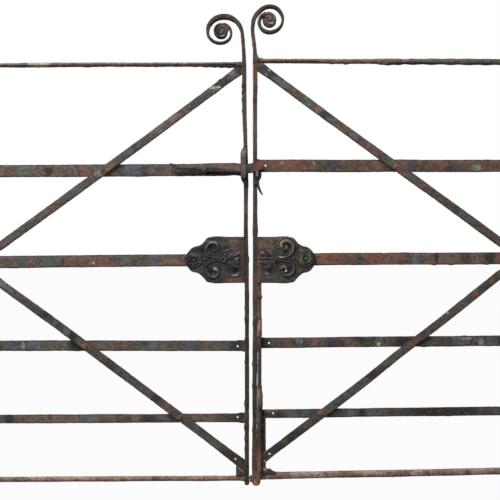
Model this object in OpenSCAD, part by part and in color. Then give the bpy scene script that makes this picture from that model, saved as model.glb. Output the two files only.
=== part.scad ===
// Pair of wrought-iron garden gates. Each leaf has a meeting stile with a scroll welded on its head,
// six rails, two braces that make half of a diamond, and a cast cover over its middle rail. A lever
// latch holds the leaves together, a drop bolt pins the right leaf to the ground, and both leaves
// hang on pintles.
// X runs along the closed gates, Y goes away from the front, and Z goes up. The origin is on the
// ground in the middle of the gateway. Every piece is drawn on the +X side, where u is its distance
// from the middle of the gateway, and the pieces of the left leaf are then mirrored.

/* [Gateway] */
// Distance from the middle of the gateway to each hinge pin
pin_u = 783; // [740:1:1000]
// Distance from a hinge pin to the middle of the hinge stile
hinge_reach = 41; // [38:1:60]
// Distance from a hinge pin to the wall or post that the pintle is bolted to
wall_reach = 29; // [27:1:60]
// Height by which the right leaf hangs above the left leaf
right_rise = 11; // [0:1:14]

/* [Rails] */
// Height of the middle of the left leaf's top rail
top_rail_z = 1138; // [1120:1:1145]
// Height of the middle of the left leaf's second rail, which carries the latch
second_rail_z = 853; // [850:1:856]
// Height of the middle of the left leaf's middle rail, where the braces meet
middle_rail_z = 604; // [595:1:615]
// Height of the middle of the left leaf's fourth rail
fourth_rail_z = 378; // [350:1:380]
// Height of the middle of the left leaf's fifth rail
fifth_rail_z = 186; // [170:1:230]
// Height of the middle of the left leaf's bottom rail
bottom_rail_z = 22; // [20:1:30]
// Height of the section of the second and middle rails
wide_rail_h = 32; // [28:1:34]
// Height of the section of the fourth rail
fourth_rail_h = 27; // [20:1:28]
// Height of the section of the fifth rail
fifth_rail_h = 22; // [16:1:28]
// Thickness of the flat rails
rail_t = 10; // [8:0.5:10]
// Diameter of the round top rail
top_rail_d = 14; // [11:0.5:16]
// Diameter of the round bottom rail
bottom_rail_d = 15; // [11:0.5:16]

/* [Stiles] */
// Width of the meeting stiles, seen from the front
stile_w = 11.5; // [9:0.5:12]
// Depth of the meeting stiles, from front to back
stile_depth = 28; // [26:1:28]
// Side of the square hinge stiles
hinge_stile_w = 22; // [18:1:26]
// Distance of the left meeting stile from the middle, at its foot
left_foot_u = 9.4; // [9:0.1:12]
// Distance of the left meeting stile from the middle, at its head
left_head_u = 17.5; // [12:0.5:18]
// Distance of the right meeting stile from the middle
right_stile_u = 13; // [12.5:0.5:13]

/* [Scrolls] */
// Distance of the left bar from the middle, where its scroll starts to bend
left_arch_u = 20.5; // [17:0.5:24]
// Distance of the right bar from the middle, where its scroll starts to bend
right_arch_u = 5.5; // [4:0.5:13]
// Height at which the left scroll starts to bend
left_arch_z = 1212; // [1190:1:1240]
// Height at which the right scroll starts to bend
right_arch_z = 1250; // [1220:1:1270]
// Thickness of the scrolls where the bar meets the eye
scroll_tip_w = 6.5; // [4:0.5:8]
// Radius of the solid eye of each scroll
scroll_eye_r = 19; // [16:0.5:20]

/* [Braces] */
// Width of the braces
brace_w = 24; // [20:1:28]
// Thickness of the braces, which lie in front of the rails
brace_t = 8; // [6:0.5:8]
// Width of a brace at its flared end, next to the meeting stile
brace_end_w = 29; // [24:1:32]
// Distance from the top rail down to the middle of the upper brace's end
brace_drop = 7; // [5:1:16]
// Distance from the bottom rail up to the middle of the lower brace's end
brace_rise = 29; // [24:1:40]

/* [Covers] */
// Height of the middle of the cast covers
cover_z = 612; // [606:1:616]
// Height of the cast covers
cover_h = 123; // [110:1:126]
// Distance from the middle of the gateway to the tip of each cover
cover_tip_u = 175; // [170:1:200]
// Thickness of the cast walls
cover_wall = 5; // [3:0.5:6]

/* [Latch] */
// Distance of the latch's pivot from the middle of the gateway
latch_u = 123; // [115:1:140]
// Height of the latch's pivot
latch_z = 857; // [856:1:858]
// Thickness of the latch bar
latch_t = 7; // [5:0.5:7]
// Diameter of the latch's pivot rivet
latch_pivot_d = 10; // [8:0.5:12]

/* [Drop bolt] */
// Diameter of the drop bolt
bolt_d = 11; // [9:0.5:11]
// Distance of the drop bolt from the middle of the gateway
bolt_u = 27.5; // [27:0.5:28]
// Travel of the drop bolt, from its raised place down
bolt_travel = 50; // [30:1:60]

/* [Hinges] */
// Height of the upper hinges on the left leaf
upper_hinge_z = 1060; // [1000:1:1080]
// Height of the lower hinges on the left leaf
lower_hinge_z = 104; // [90:1:120]
// Diameter of the hinge pins
pin_d = 16; // [12:0.5:18]
// Play between a pin and its eye, on the radius
pin_play = 0.1; // [0.05:0.01:0.1]
// Height of the wall plates
wall_plate_h = 130; // [120:1:160]
// Distance between the two bolt holes of a wall plate
wall_bolt_spacing = 96; // [80:1:100]
// Diameter of the wall plates' bolt holes
wall_bolt_d = 11; // [8:0.5:14]

/* [Hidden] */
$fn = 48;

// Which leaf a piece belongs to
left = -1;
right = 1;
// Which rail, from the top down
top = 0;
second = 1;
middle = 2;
fourth = 3;
fifth = 4;
bottom = 5;

paint = "#4a4744";
rusty_paint = "#5d4c43";
bare_rust = "#73594c";
cast_black = "#3a3937";

// Gap that keeps neighbouring forgings apart, and the play of a pin in its hole
gap = 0.25;
play = 0.1;

stile_half = stile_w / 2;
stile_front = -stile_depth / 2;
// Holes through a meeting stile are cut from one of these distances to the other
cut_u0 = -1;
cut_u1 = 40;
hinge_stile_u = pin_u - hinge_reach;
hinge_face_u = hinge_stile_u - hinge_stile_w / 2;
wall_u = pin_u + wall_reach;
rail_front = -rail_t / 2;
brace_front = rail_front - brace_t;
brace_mid_y = rail_front - brace_t / 2;

rail_heights = [top_rail_z, second_rail_z, middle_rail_z, fourth_rail_z, fifth_rail_z, bottom_rail_z];
rail_sections = [top_rail_d, wide_rail_h, wide_rail_h, fourth_rail_h, fifth_rail_h, bottom_rail_d];
tenon_round_r = 4;
tenon_share = 0.56;
tenon_t = 7;

// Old fixing holes in the flat rails: leaf, rail and distance from the middle
fixing_hole_r = 2.2;
fixing_holes = [
    [left, fourth, 35], [left, fifth, 35],
    [right, second, 41], [right, fourth, 50], [right, fifth, 61]
];

// Radius of each quarter turn of the scrolls' middle line, from the stile to the eye
left_turns = [55.5, 39.5, 34, 30.5, 24.5, scroll_eye_r];
right_turns = [46, 36, 35.5, 28.5, 25, scroll_eye_r];
last_turn = 5;
turn_steps = 10;
lean_from_z = 600;
scroll_bend_z = 1150;
weld_z = 1165;
left_foot_r = 6.5;
knob_r = 12;
knob_shift = 3.5;
knob_weld_z = 26;

rivet_r = 4;
apex_rivet_r = 3;
apex_rivet_u = hinge_stile_u - 24;
apex_rivet_dz = 9.5;
brace_pin_r = 3.5;
brace_flare_from = 60;
brace_hinge_gap = 2;

toe_t = 5;
toe_end_u = 66;
toe_rivet_u = 52;
strap_u = 34.5;
strap_w = 7;
strap_top_z = 166;
left_foot_w = 24;
left_foot_overlap = 12;
brace_hole_r = 2.4;
brace_hole_rise = [22, 28];

cover_front = -17;
cover_back = rail_t / 2;
cover_face_t = 5;
cover_shoulder_u = 104;
cover_corner_u = 117;
cover_corner_drop = 4.5;
cover_neck_u = 134;
cover_neck_z = 38;
cover_tip_r = 34.7;
back_plate_t = 5;
scroll_boss_u = 100;
scroll_boss_z = 31;
scroll_boss_r = 22;
rosette_u = 150.5;
rosette_r = 22;
cover_rivet_r = 3;
cover_boss_r = 6.5;
cover_rivets_at = [[36, 48], [36, -48], [112, 38], [112, -38]];

latch_back = stile_front - 1;
latch_front = latch_back - latch_t;
latch_boss_r = 13.5;
staple_t = 3.5;
staple_out = latch_front - 2;
staple_rivets_z = [822, 918];
staple_rivet_r = 2.5;
keeper_seat_z = 843;
keeper_lip_z = 849.5;
keeper_lip_back = latch_front - 1.5;
keeper_lip_t = 4.5;
keeper_rivets_z = [818, 830];

bolt_y = -16;
bolt_r = bolt_d / 2;
bolt_nose_z = 12;
bolt_top_z = 549;
guide_bore_r = bolt_r + 0.5;
guide_r = 8.7;
upper_guide_z = [405, 455];
lower_guide_z = [168, 273];
collar_r = 8;
collar_h = 8;
guide_pin_r = 3;
guide_pin_y = -10.5;

eye_r = 17;
eye_h = 34;
shank_r = 6;
shank_collar_r = 10;
shank_collar_t = 4;
pintle_drop = 0.5;
pintle_arm_h = 18;
pintle_arm_r = 14;
pintle_above_eye = 7;
wall_plate_t = 8;
wall_plate_w = 44;

function rise(side) = side == right ? right_rise : 0;
function rail_z(side, rail) = rail_heights[rail] + rise(side);
function is_round(rail) = rail == top || rail == bottom;
function heading(angle) = [cos(angle), sin(angle)];

// The meeting stile's middle line as pairs of height and distance from the middle
function stile_line(side) = side == left
    ? [[left_foot_r, left_foot_u], [lean_from_z, left_foot_u],
       [scroll_bend_z, left_head_u], [left_arch_z, left_arch_u]]
    : [[knob_weld_z, right_stile_u], [scroll_bend_z, right_stile_u], [right_arch_z, right_arch_u]];
function stile_u(side, z) = lookup(z, stile_line(side));
function face_u(side, z) = stile_u(side, z) + stile_half;
function cover_face_u(side) = face_u(side, cover_z + cover_h / 2);

function turns(side) = side == left ? left_turns : right_turns;
function arch_start(side) = side == left ? [left_arch_u, left_arch_z] : [right_arch_u, right_arch_z];
// Each quarter turn's centre moves along the radius that it shares with the turn before
function turn_centre(side, k) = k == 0
    ? arch_start(side) + [turns(side)[0], 0]
    : turn_centre(side, k - 1) + (turns(side)[k - 1] - turns(side)[k]) * heading(180 - 90 * k);
function scroll_half(t) = stile_half + (scroll_tip_w / 2 - stile_half) * t;
function scroll_edge(side, way) = [
    for (k = [0 : last_turn], step = [1 : turn_steps])
        turn_centre(side, k)
            + (turns(side)[k] + way * scroll_half((k + step / turn_steps) / (last_turn + 1)))
            * heading(180 - 90 * (k + step / turn_steps))
];
function reversed(list) = [for (i = [len(list) - 1 : -1 : 0]) list[i]];

// The two ends of a brace's middle line, at the hinge stile and at the meeting stile
function brace_hinge_end(side) = [hinge_stile_u, rail_z(side, middle)];
function upper_brace_end(side) = [stile_u(side, top_rail_z), rail_z(side, top) - brace_drop];
function lower_brace_end(side) = [stile_u(side, bottom_rail_z), rail_z(side, bottom) + brace_rise];
// Where a brace's middle line crosses a height
function crossing(side, end, z) =
    let (start = brace_hinge_end(side))
    start + (end - start) * (z - start[1]) / (end[1] - start[1]);
// All places where a rivet joins a brace to a flat rail: the point and the shank's radius
function brace_rivets_at(side) = [
    [crossing(side, upper_brace_end(side), rail_z(side, second)), rivet_r],
    [crossing(side, lower_brace_end(side), rail_z(side, fourth)), rivet_r],
    [crossing(side, lower_brace_end(side), rail_z(side, fifth)), rivet_r],
    [[apex_rivet_u, rail_z(side, middle) + apex_rivet_dz], apex_rivet_r],
    [[apex_rivet_u, rail_z(side, middle) - apex_rivet_dz], apex_rivet_r]
];

// Heights of the pins on the braces' ends and on the guides, and of the hinges
function upper_pin_z(side) = rail_z(side, top) - top_rail_d / 2 - 10;
function lower_pin_z() = rail_z(left, bottom) + 24;
function guide_pins_z() = [
    upper_guide_z[0] + 12, upper_guide_z[1] - 12, lower_guide_z[0] + 20, lower_guide_z[1] - 20
];
function hinges_z(side) = [lower_hinge_z + rise(side), upper_hinge_z + rise(side)];

module on(side) {
    if (side == left) mirror([1, 0, 0]) children();
    else children();
}

// Stands a drawing up in the plane of the gates and gives it depth from y0 back to y1
module upright(y0, y1) {
    translate([0, y1, 0]) rotate([90, 0, 0]) linear_extrude(y1 - y0) children();
}

// A round bar or hole along the gates, from u0 to u1
module along_u(u0, u1, y, z, r) {
    translate([u0, y, z]) rotate([0, 90, 0]) cylinder(h = u1 - u0, r = r);
}

// A round bar or hole from front to back
module along_y(u, z, y0, y1, r) {
    translate([u, y1, z]) rotate([90, 0, 0]) cylinder(h = y1 - y0, r = r);
}

// A domed rivet head that sits on the face at y and bulges to the front (-1) or the back (1)
module dome(u, z, y, r, h, way) {
    ball_r = (r * r + h * h) / (2 * h);
    intersection() {
        translate([u, y + way * (h - ball_r), z]) sphere(ball_r);
        along_y(u, z, way < 0 ? y - h - 1 : y, way < 0 ? y : y + h + 1, r);
    }
}

module rivet(u, z, y0, y1, r) {
    along_y(u, z, y0, y1, r);
    dome(u, z, y0, 2 * r, 0.9 * r, -1);
    dome(u, z, y1, 1.8 * r, 0.8 * r, 1);
}

// The tongue that goes right through a stile between u0 and u1, wider by spare all round
module tenon(side, rail, u0, u1, spare) {
    z = rail_z(side, rail);
    tenon_h = tenon_share * rail_sections[rail] + 2 * spare;
    t = tenon_t + 2 * spare;
    if (is_round(rail)) along_u(u0, u1, 0, z, tenon_round_r + spare);
    else translate([u0, -t / 2, z - tenon_h / 2]) cube([u1 - u0, t, tenon_h]);
}

module meeting_stile(side) {
    heights = [for (p = stile_line(side)) if (p[0] < weld_z) p[0]];
    line = [for (z = concat(heights, weld_z)) [z, stile_u(side, z)]];
    color(paint) on(side) difference() {
        union() {
            upright(stile_front, -stile_front) polygon(concat(
                [for (p = line) [p[1] - stile_half, p[0]]],
                [for (p = reversed(line)) [p[1] + stile_half, p[0]]]
            ));
            if (side == left)
                along_y(left_foot_u, left_foot_r, stile_front, -stile_front, left_foot_r);
        }
        for (rail = [top : bottom]) tenon(side, rail, cut_u0, cut_u1, play);
        along_u(cut_u0, cut_u1, brace_mid_y, upper_pin_z(side), brace_pin_r + play);
        if (side == left) {
            along_u(cut_u0, cut_u1, brace_mid_y, lower_pin_z(), brace_pin_r + play);
            for (z = staple_rivets_z)
                along_y(stile_u(left, z), z, stile_front - 1, stile_front + 10, staple_rivet_r + play);
        } else {
            for (z = guide_pins_z()) along_u(cut_u0, cut_u1, guide_pin_y, z, guide_pin_r + play);
            for (z = keeper_rivets_z)
                along_y(right_stile_u, z, stile_front - 1, stile_front + 10, staple_rivet_r + play);
        }
    }
}

// A ball that is forged on a short end of the same bar and welded under the right stile
module foot_knob() {
    color(paint) on(right) {
        upright(stile_front, -stile_front)
            box_2d(right_stile_u - stile_half, right_stile_u + stile_half, knob_r / 2, knob_weld_z);
        translate([right_stile_u + knob_shift, 0, knob_r]) sphere(knob_r);
    }
}

// The same bar goes on above the weld, bends over and rolls up to a solid eye
module scroll(side) {
    eye = turn_centre(side, last_turn) - [0, scroll_tip_w / 2];
    u = stile_u(side, weld_z);
    color(paint) on(side) {
        upright(stile_front, -stile_front) polygon(concat(
            [[u - stile_half, weld_z]],
            scroll_edge(side, 1),
            reversed(scroll_edge(side, -1)),
            [arch_start(side) + [stile_half, 0], [u + stile_half, weld_z]]
        ));
        along_y(eye[0], eye[1], stile_front, -stile_front, scroll_eye_r);
    }
}

module hinge_stile(side) {
    z0 = rail_z(side, bottom) - 14;
    z1 = rail_z(side, top) + 14;
    color(paint) on(side) difference() {
        translate([hinge_face_u, -hinge_stile_w / 2, z0])
            cube([hinge_stile_w, hinge_stile_w, z1 - z0]);
        for (rail = [top : bottom])
            tenon(side, rail, hinge_face_u - 1, hinge_face_u + hinge_stile_w + 1, play);
        for (z = hinges_z(side))
            along_u(hinge_face_u - 1, hinge_face_u + hinge_stile_w + 1, 0, z, shank_r + play);
    }
}

module rail(side, rail) {
    z = rail_z(side, rail);
    h = rail_sections[rail];
    u0 = face_u(side, z) + gap;
    colour = is_round(rail) ? bare_rust : rail == fourth || rail == fifth ? paint : rusty_paint;
    color(colour) on(side) difference() {
        union() {
            if (is_round(rail)) along_u(u0, hinge_face_u, 0, z, h / 2);
            else translate([u0, rail_front, z - h / 2]) cube([hinge_face_u - u0, rail_t, h]);
            tenon(side, rail, u0 - gap - stile_w, hinge_face_u + hinge_stile_w, 0);
        }
        if (!is_round(rail)) for (r = brace_rivets_at(side))
            along_y(r[0][0], r[0][1], rail_front - 1, -rail_front + 1, r[1] + play);
        for (hole = fixing_holes) if (hole[0] == side && hole[1] == rail)
            along_y(hole[2], z, rail_front - 1, -rail_front + 1, fixing_hole_r);
        if (side == left && rail == second)
            along_y(latch_u, latch_z, rail_front - 1, -rail_front + 1, latch_pivot_d / 2 + play);
        if (side == right && rail == bottom)
            translate([toe_rivet_u, 0, z - h]) cylinder(h = 2 * h, r = apex_rivet_r + play);
    }
}

// A flat bar through two points and on past both, a little wider at the second one
module brace_band(start, end) {
    way = (end - start) / norm(end - start);
    across = [-way[1], way[0]];
    near = start - way * brace_end_w;
    flare = end - way * brace_flare_from;
    far = end + way * brace_end_w;
    polygon([
        near + across * brace_w / 2, flare + across * brace_w / 2, end + across * brace_end_w / 2,
        far + across * brace_end_w / 2, far - across * brace_end_w / 2,
        end - across * brace_end_w / 2, flare - across * brace_w / 2, near - across * brace_w / 2
    ]);
}

module box_2d(u0, u1, z0, z1) {
    translate([u0, z0]) square([u1 - u0, z1 - z0]);
}

module upper_brace(side) {
    z1 = rail_z(side, top) - top_rail_d / 2 - gap;
    pin_z = upper_pin_z(side);
    face = face_u(side, pin_z);
    color(paint) on(side) difference() {
        union() {
            upright(brace_front, rail_front) intersection() {
                brace_band(brace_hinge_end(side), upper_brace_end(side));
                box_2d(face + gap, hinge_face_u - brace_hinge_gap, rail_z(side, middle) + gap, z1);
            }
            along_u(face - stile_w, face + 2, brace_mid_y, pin_z, brace_pin_r);
        }
        for (r = brace_rivets_at(side))
            along_y(r[0][0], r[0][1], brace_front - 1, rail_front + 1, r[1] + play);
    }
}

module lower_brace(side) {
    z0 = rail_z(side, bottom) + bottom_rail_d / 2 + gap;
    z1 = rail_z(side, middle) - gap;
    end = lower_brace_end(side);
    u0 = side == left ? face_u(left, z0) + gap : strap_u;
    hole = crossing(side, end, end[1] + brace_hole_rise[side == left ? 0 : 1]);
    color(paint) on(side) difference() {
        union() {
            upright(brace_front, rail_front) {
                intersection() {
                    brace_band(brace_hinge_end(side), end);
                    box_2d(u0, hinge_face_u - brace_hinge_gap, end[1] - brace_w / 2, z1);
                }
                if (side == left) box_2d(u0, u0 + left_foot_w, z0, end[1] + left_foot_overlap);
                else box_2d(u0, u0 + strap_w, z0, strap_top_z);
            }
            if (side == left) along_u(u0 - gap - stile_w, u0 + 2, brace_mid_y, lower_pin_z(), brace_pin_r);
            else translate([u0, brace_front, z0]) cube([toe_end_u - u0, -brace_front + 6, toe_t]);
        }
        for (r = brace_rivets_at(side))
            along_y(r[0][0], r[0][1], brace_front - 1, rail_front + 1, r[1] + play);
        along_y(hole[0], hole[1], brace_front - 1, rail_front + 1, brace_hole_r);
        if (side == right)
            translate([toe_rivet_u, 0, z0 - 1]) cylinder(h = toe_t + 2, r = apex_rivet_r + play);
    }
}

module brace_rivets(side) {
    color(bare_rust) on(side) {
        for (r = brace_rivets_at(side)) rivet(r[0][0], r[0][1], brace_front, -rail_front, r[1]);
        if (side == right) toe_rivet();
    }
}

// The upright rivet that holds the right lower brace's toe on the bottom rail
module toe_rivet() {
    z = rail_z(right, bottom);
    z0 = z - bottom_rail_d / 2;
    z1 = z + bottom_rail_d / 2 + gap + toe_t;
    translate([toe_rivet_u, 0, z0]) rotate([-90, 0, 0]) {
        along_y(0, 0, z0 - z1, 0, apex_rivet_r);
        dome(0, 0, z0 - z1, 2 * apex_rivet_r, 0.8 * apex_rivet_r, -1);
        dome(0, 0, 0, 1.5 * apex_rivet_r, 0.5 * apex_rivet_r, 1);
    }
}

// The covers' outline around their own middle: a block with sloping shoulders and a round tip
module cover_outline(side, inset) {
    h = cover_h / 2 - inset;
    u0 = cover_face_u(side) + gap + inset;
    polygon([
        [u0, -h], [cover_shoulder_u, -h], [cover_corner_u - inset, -h + cover_corner_drop],
        [cover_neck_u - inset, -cover_neck_z + inset], [cover_neck_u - inset, cover_neck_z - inset],
        [cover_corner_u - inset, h - cover_corner_drop], [cover_shoulder_u, h], [u0, h]
    ]);
    translate([cover_tip_u - cover_tip_r, 0]) circle(cover_tip_r - inset);
}

module cover(side) {
    color(cast_black) on(side) difference() {
        union() {
            translate([0, 0, cover_z]) cover_shell(side);
            translate([0, 0, cover_z]) cover_relief(side);
        }
        translate([0, rail_front - play, rail_z(side, middle) - wide_rail_h / 2 - play])
            cube([cover_tip_u + 1, rail_t + 2 * play, wide_rail_h + 2 * play]);
    }
}

module cover_shell(side) {
    difference() {
        union() {
            difference() {
                upright(cover_front, cover_back) cover_outline(side, 0);
                upright(cover_front + cover_face_t, cover_back + 1) cover_outline(side, cover_wall);
            }
            for (p = cover_rivets_at)
                along_y(p[0], p[1], cover_front + 1, cover_back, cover_boss_r);
        }
        for (p = cover_rivets_at)
            along_y(p[0], p[1], cover_front + cover_face_t, cover_back + 1, cover_rivet_r + play);
    }
}

// Raised ornament: two scrolls, a beaded rosette, a ring, a keel and the leaves next to the stile
module cover_relief(side) {
    for (way = [-1, 1]) {
        translate([scroll_boss_u, cover_front, way * scroll_boss_z]) rotate([90, 0, 0])
            raised_scroll();
        for (leaf = [0 : 2])
            translate([34 + 9 * leaf, cover_front, way * (11 + 7 * leaf)]) sphere(5.5);
    }
    translate([rosette_u, cover_front, 0]) rotate([90, 0, 0]) rosette();
    translate([73, cover_front, 0]) rotate([90, 0, 0]) ring(6.5, 2.2);
    along_u(cover_face_u(side) + 2, 64, cover_front, 0, 3);
    along_u(82, 124, cover_front, 4, 2.5);
    along_u(82, 124, cover_front, -4, 2.5);
}

module ring(r, bar_r) {
    rotate_extrude() translate([r, 0]) circle(bar_r);
}

module raised_scroll() {
    cylinder(h = 2, r = scroll_boss_r);
    ring(scroll_boss_r - 4, 4);
    translate([-3, 0, 0]) ring(7, 3.5);
}

module rosette() {
    cylinder(h = 2, r = rosette_r);
    ring(rosette_r - 3, 3);
    for (bead = [0 : 9])
        rotate(36 * bead) translate([12, 0, 1]) sphere(3);
    intersection() {
        translate([0, 0, -5]) sphere(11);
        cylinder(h = 10, r = 9.5);
    }
}

module back_plate(side) {
    color(cast_black) on(side) difference() {
        translate([0, 0, cover_z]) upright(cover_back, cover_back + back_plate_t) cover_outline(side, 0);
        for (p = cover_rivets_at)
            along_y(p[0], cover_z + p[1], cover_back - 1, cover_back + back_plate_t + 1,
                    cover_rivet_r + play);
    }
}

module cover_rivets(side) {
    y1 = cover_back + back_plate_t;
    color(bare_rust) on(side) for (p = cover_rivets_at) {
        along_y(p[0], cover_z + p[1], cover_front + cover_face_t + gap, y1, cover_rivet_r);
        dome(p[0], cover_z + p[1], y1, 2 * cover_rivet_r, 0.9 * cover_rivet_r, 1);
    }
}

// A lever with a finger tail, a boss on the pivot and a tongue that reaches over the right leaf
module latch_bar() {
    color(rusty_paint) on(left) difference() {
        union() {
            upright(latch_front, latch_back) {
                polygon([
                    [123, 869], [60, 870.5], [0, 870], [-8, 874], [-20, 877.5], [-31, 875],
                    [-35.5, 864], [-31, 854], [-22, 851], [-7, 851], [2, 847], [20, 844], [123, 845]
                ]);
                polygon([
                    [123, 864], [165, 862.5], [190, 861], [203, 866], [213, 876], [217, 872],
                    [207, 859], [193, 851.5], [165, 853.5], [123, 851]
                ]);
                translate([latch_u, latch_z]) circle(latch_boss_r);
            }
            along_y(latch_u, latch_z, latch_back, rail_front - gap, 11);
        }
        along_y(latch_u, latch_z, latch_front - 1, 0, latch_pivot_d / 2 + play);
    }
}

module latch_pivot() {
    y0 = latch_front - gap;
    y1 = -rail_front;
    color(bare_rust) on(left) {
        along_y(latch_u, latch_z, y0, y1, latch_pivot_d / 2);
        dome(latch_u, latch_z, y0, 9, 4, -1);
        dome(latch_u, latch_z, y1, 9, 3.5, 1);
    }
}

// A strap that is forged to a point at both ends and stands out over the latch bar
module latch_staple() {
    out = staple_out - staple_t;
    foot = stile_front - staple_t;
    color(rusty_paint) on(left) difference() {
        intersection() {
            translate([9, 0, 0]) rotate([90, 0, 90]) linear_extrude(18) polygon([
                [stile_front, 812], [foot, 812], [foot, 830], [out, 834], [out, 902], [foot, 906],
                [foot, 928], [stile_front, 928], [stile_front, 902], [staple_out, 898],
                [staple_out, 837.5], [stile_front, 833.5]
            ]);
            upright(-40, 0) polygon([
                [10, 812], [17, 812], [20, 830], [26, 836], [26, 900], [20, 906], [17, 928],
                [11, 928], [10, 900]
            ]);
        }
        for (z = staple_rivets_z)
            along_y(stile_u(left, z), z, foot - 1, stile_front + 1, staple_rivet_r + play);
    }
}

module latch_staple_rivets() {
    color(bare_rust) on(left) for (z = staple_rivets_z) {
        along_y(stile_u(left, z), z, stile_front - staple_t, stile_front + 9, staple_rivet_r);
        dome(stile_u(left, z), z, stile_front - staple_t, 4, 2, -1);
    }
}

// A bracket on the right stile: the latch's tongue drops behind its lip
module latch_keeper() {
    back_t = 4;
    lip_front = keeper_lip_back - keeper_lip_t;
    color(bare_rust) on(right) difference() {
        union() {
            translate([8, stile_front - back_t, 812]) cube([10.5, back_t, keeper_seat_z - 812]);
            translate([12, lip_front, keeper_seat_z - 5]) cube([18, stile_front - lip_front, 5]);
            translate([13, lip_front, 832]) cube([9, keeper_lip_t, keeper_lip_z - 832]);
        }
        for (z = keeper_rivets_z)
            along_y(right_stile_u, z, stile_front - back_t - 1, stile_front + 1, staple_rivet_r + play);
    }
}

module latch_keeper_rivets() {
    color(bare_rust) on(right) for (z = keeper_rivets_z) {
        along_y(right_stile_u, z, stile_front - 4, stile_front + 9, staple_rivet_r);
        dome(right_stile_u, z, stile_front - 4, 4, 2, -1);
    }
}

// A sleeve around the drop bolt, with two pins that go through the stile and are riveted over
module bolt_guide(heights) {
    u0 = face_u(right, heights[0]) + gap;
    color(rusty_paint) on(right) {
        difference() {
            translate([0, 0, heights[0]]) linear_extrude(heights[1] - heights[0]) {
                translate([bolt_u, bolt_y]) circle(guide_r);
                translate([u0, bolt_y - guide_r]) square([bolt_u - u0, 2 * guide_r]);
            }
            translate([bolt_u, bolt_y, heights[0] - 1])
                cylinder(h = heights[1] - heights[0] + 2, r = guide_bore_r);
        }
        for (z = guide_pins_z()) if (z > heights[0] && z < heights[1])
            along_u(u0 - gap - stile_w, u0 + 1, guide_pin_y, z, guide_pin_r);
    }
}

module bolt_upper_guide() {
    bolt_guide(upper_guide_z);
}

module bolt_lower_guide() {
    bolt_guide(lower_guide_z);
}

module drop_bolt() {
    color(rusty_paint) on(right) translate([bolt_u, bolt_y, 0]) {
        translate([0, 0, bolt_nose_z]) cylinder(h = bolt_top_z - bolt_nose_z, r = bolt_r);
        translate([0, 0, bolt_nose_z]) sphere(bolt_r);
        translate([0, 0, upper_guide_z[1] + bolt_travel + 3]) cylinder(h = collar_h, r = collar_r);
    }
}

// An eye on a shank that goes through the hinge stile and is riveted over inside the leaf
module hinge_eye(side, z) {
    shank_end = hinge_face_u;
    stile_back = hinge_face_u + hinge_stile_w;
    color(rusty_paint) on(side) difference() {
        union() {
            translate([pin_u, 0, z - eye_h / 2]) cylinder(h = eye_h, r = eye_r);
            along_u(stile_back, pin_u - eye_r / 2, 0, z, shank_collar_r - 1);
            along_u(stile_back, stile_back + shank_collar_t, 0, z, shank_collar_r);
            along_u(shank_end - shank_collar_t, stile_back + 1, 0, z, shank_r);
            along_u(shank_end - shank_collar_t, shank_end, 0, z, shank_collar_r);
        }
        translate([pin_u, 0, z - eye_h / 2 - 1]) cylinder(h = eye_h + 2, r = pin_d / 2 + pin_play);
    }
}

// A wall plate with two bolt holes and an arm that carries the upright pin
module pintle(side, z) {
    arm_top = z - eye_h / 2 - pintle_drop;
    arm_z = arm_top - pintle_arm_h;
    plate_z = arm_top - pintle_arm_h / 2;
    color(paint) on(side) difference() {
        union() {
            translate([wall_u - wall_plate_t, -wall_plate_w / 2, plate_z - wall_plate_h / 2])
                cube([wall_plate_t, wall_plate_w, wall_plate_h]);
            translate([pin_u, 0, arm_z]) cylinder(h = pintle_arm_h, r = pintle_arm_r);
            translate([pin_u, -pintle_arm_r, arm_z])
                cube([wall_reach - wall_plate_t + 1, 2 * pintle_arm_r, pintle_arm_h]);
            translate([pin_u, 0, arm_z])
                cylinder(h = pintle_arm_h + pintle_drop + eye_h + pintle_above_eye, r = pin_d / 2);
        }
        for (way = [-1, 1])
            along_u(wall_u - wall_plate_t - 1, wall_u + 1, 0, plate_z + way * wall_bolt_spacing / 2,
                    wall_bolt_d / 2);
    }
}

meeting_stile(left);  // left_meeting_stile
scroll(left);  // left_scroll
hinge_stile(left);  // left_hinge_stile
rail(left, top);  // left_top_rail
rail(left, second);  // left_second_rail
rail(left, middle);  // left_middle_rail
rail(left, fourth);  // left_fourth_rail
rail(left, fifth);  // left_fifth_rail
rail(left, bottom);  // left_bottom_rail
upper_brace(left);  // left_upper_brace
lower_brace(left);  // left_lower_brace
brace_rivets(left);  // left_brace_rivets
cover(left);  // left_cover
back_plate(left);  // left_back_plate
cover_rivets(left);  // left_cover_rivets
hinge_eye(left, hinges_z(left)[1]);  // left_upper_eye
hinge_eye(left, hinges_z(left)[0]);  // left_lower_eye
latch_bar();
latch_pivot();
latch_staple();
latch_staple_rivets();
meeting_stile(right);  // right_meeting_stile
foot_knob();  // right_foot_knob
scroll(right);  // right_scroll
hinge_stile(right);  // right_hinge_stile
rail(right, top);  // right_top_rail
rail(right, second);  // right_second_rail
rail(right, middle);  // right_middle_rail
rail(right, fourth);  // right_fourth_rail
rail(right, fifth);  // right_fifth_rail
rail(right, bottom);  // right_bottom_rail
upper_brace(right);  // right_upper_brace
lower_brace(right);  // right_lower_brace
brace_rivets(right);  // right_brace_rivets
cover(right);  // right_cover
back_plate(right);  // right_back_plate
cover_rivets(right);  // right_cover_rivets
hinge_eye(right, hinges_z(right)[1]);  // right_upper_eye
hinge_eye(right, hinges_z(right)[0]);  // right_lower_eye
latch_keeper();
latch_keeper_rivets();
bolt_upper_guide();
bolt_lower_guide();
drop_bolt();
pintle(left, hinges_z(left)[1]);  // left_upper_pintle
pintle(left, hinges_z(left)[0]);  // left_lower_pintle
pintle(right, hinges_z(right)[1]);  // right_upper_pintle
pintle(right, hinges_z(right)[0]);  // right_lower_pintle
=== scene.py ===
import math

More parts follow.
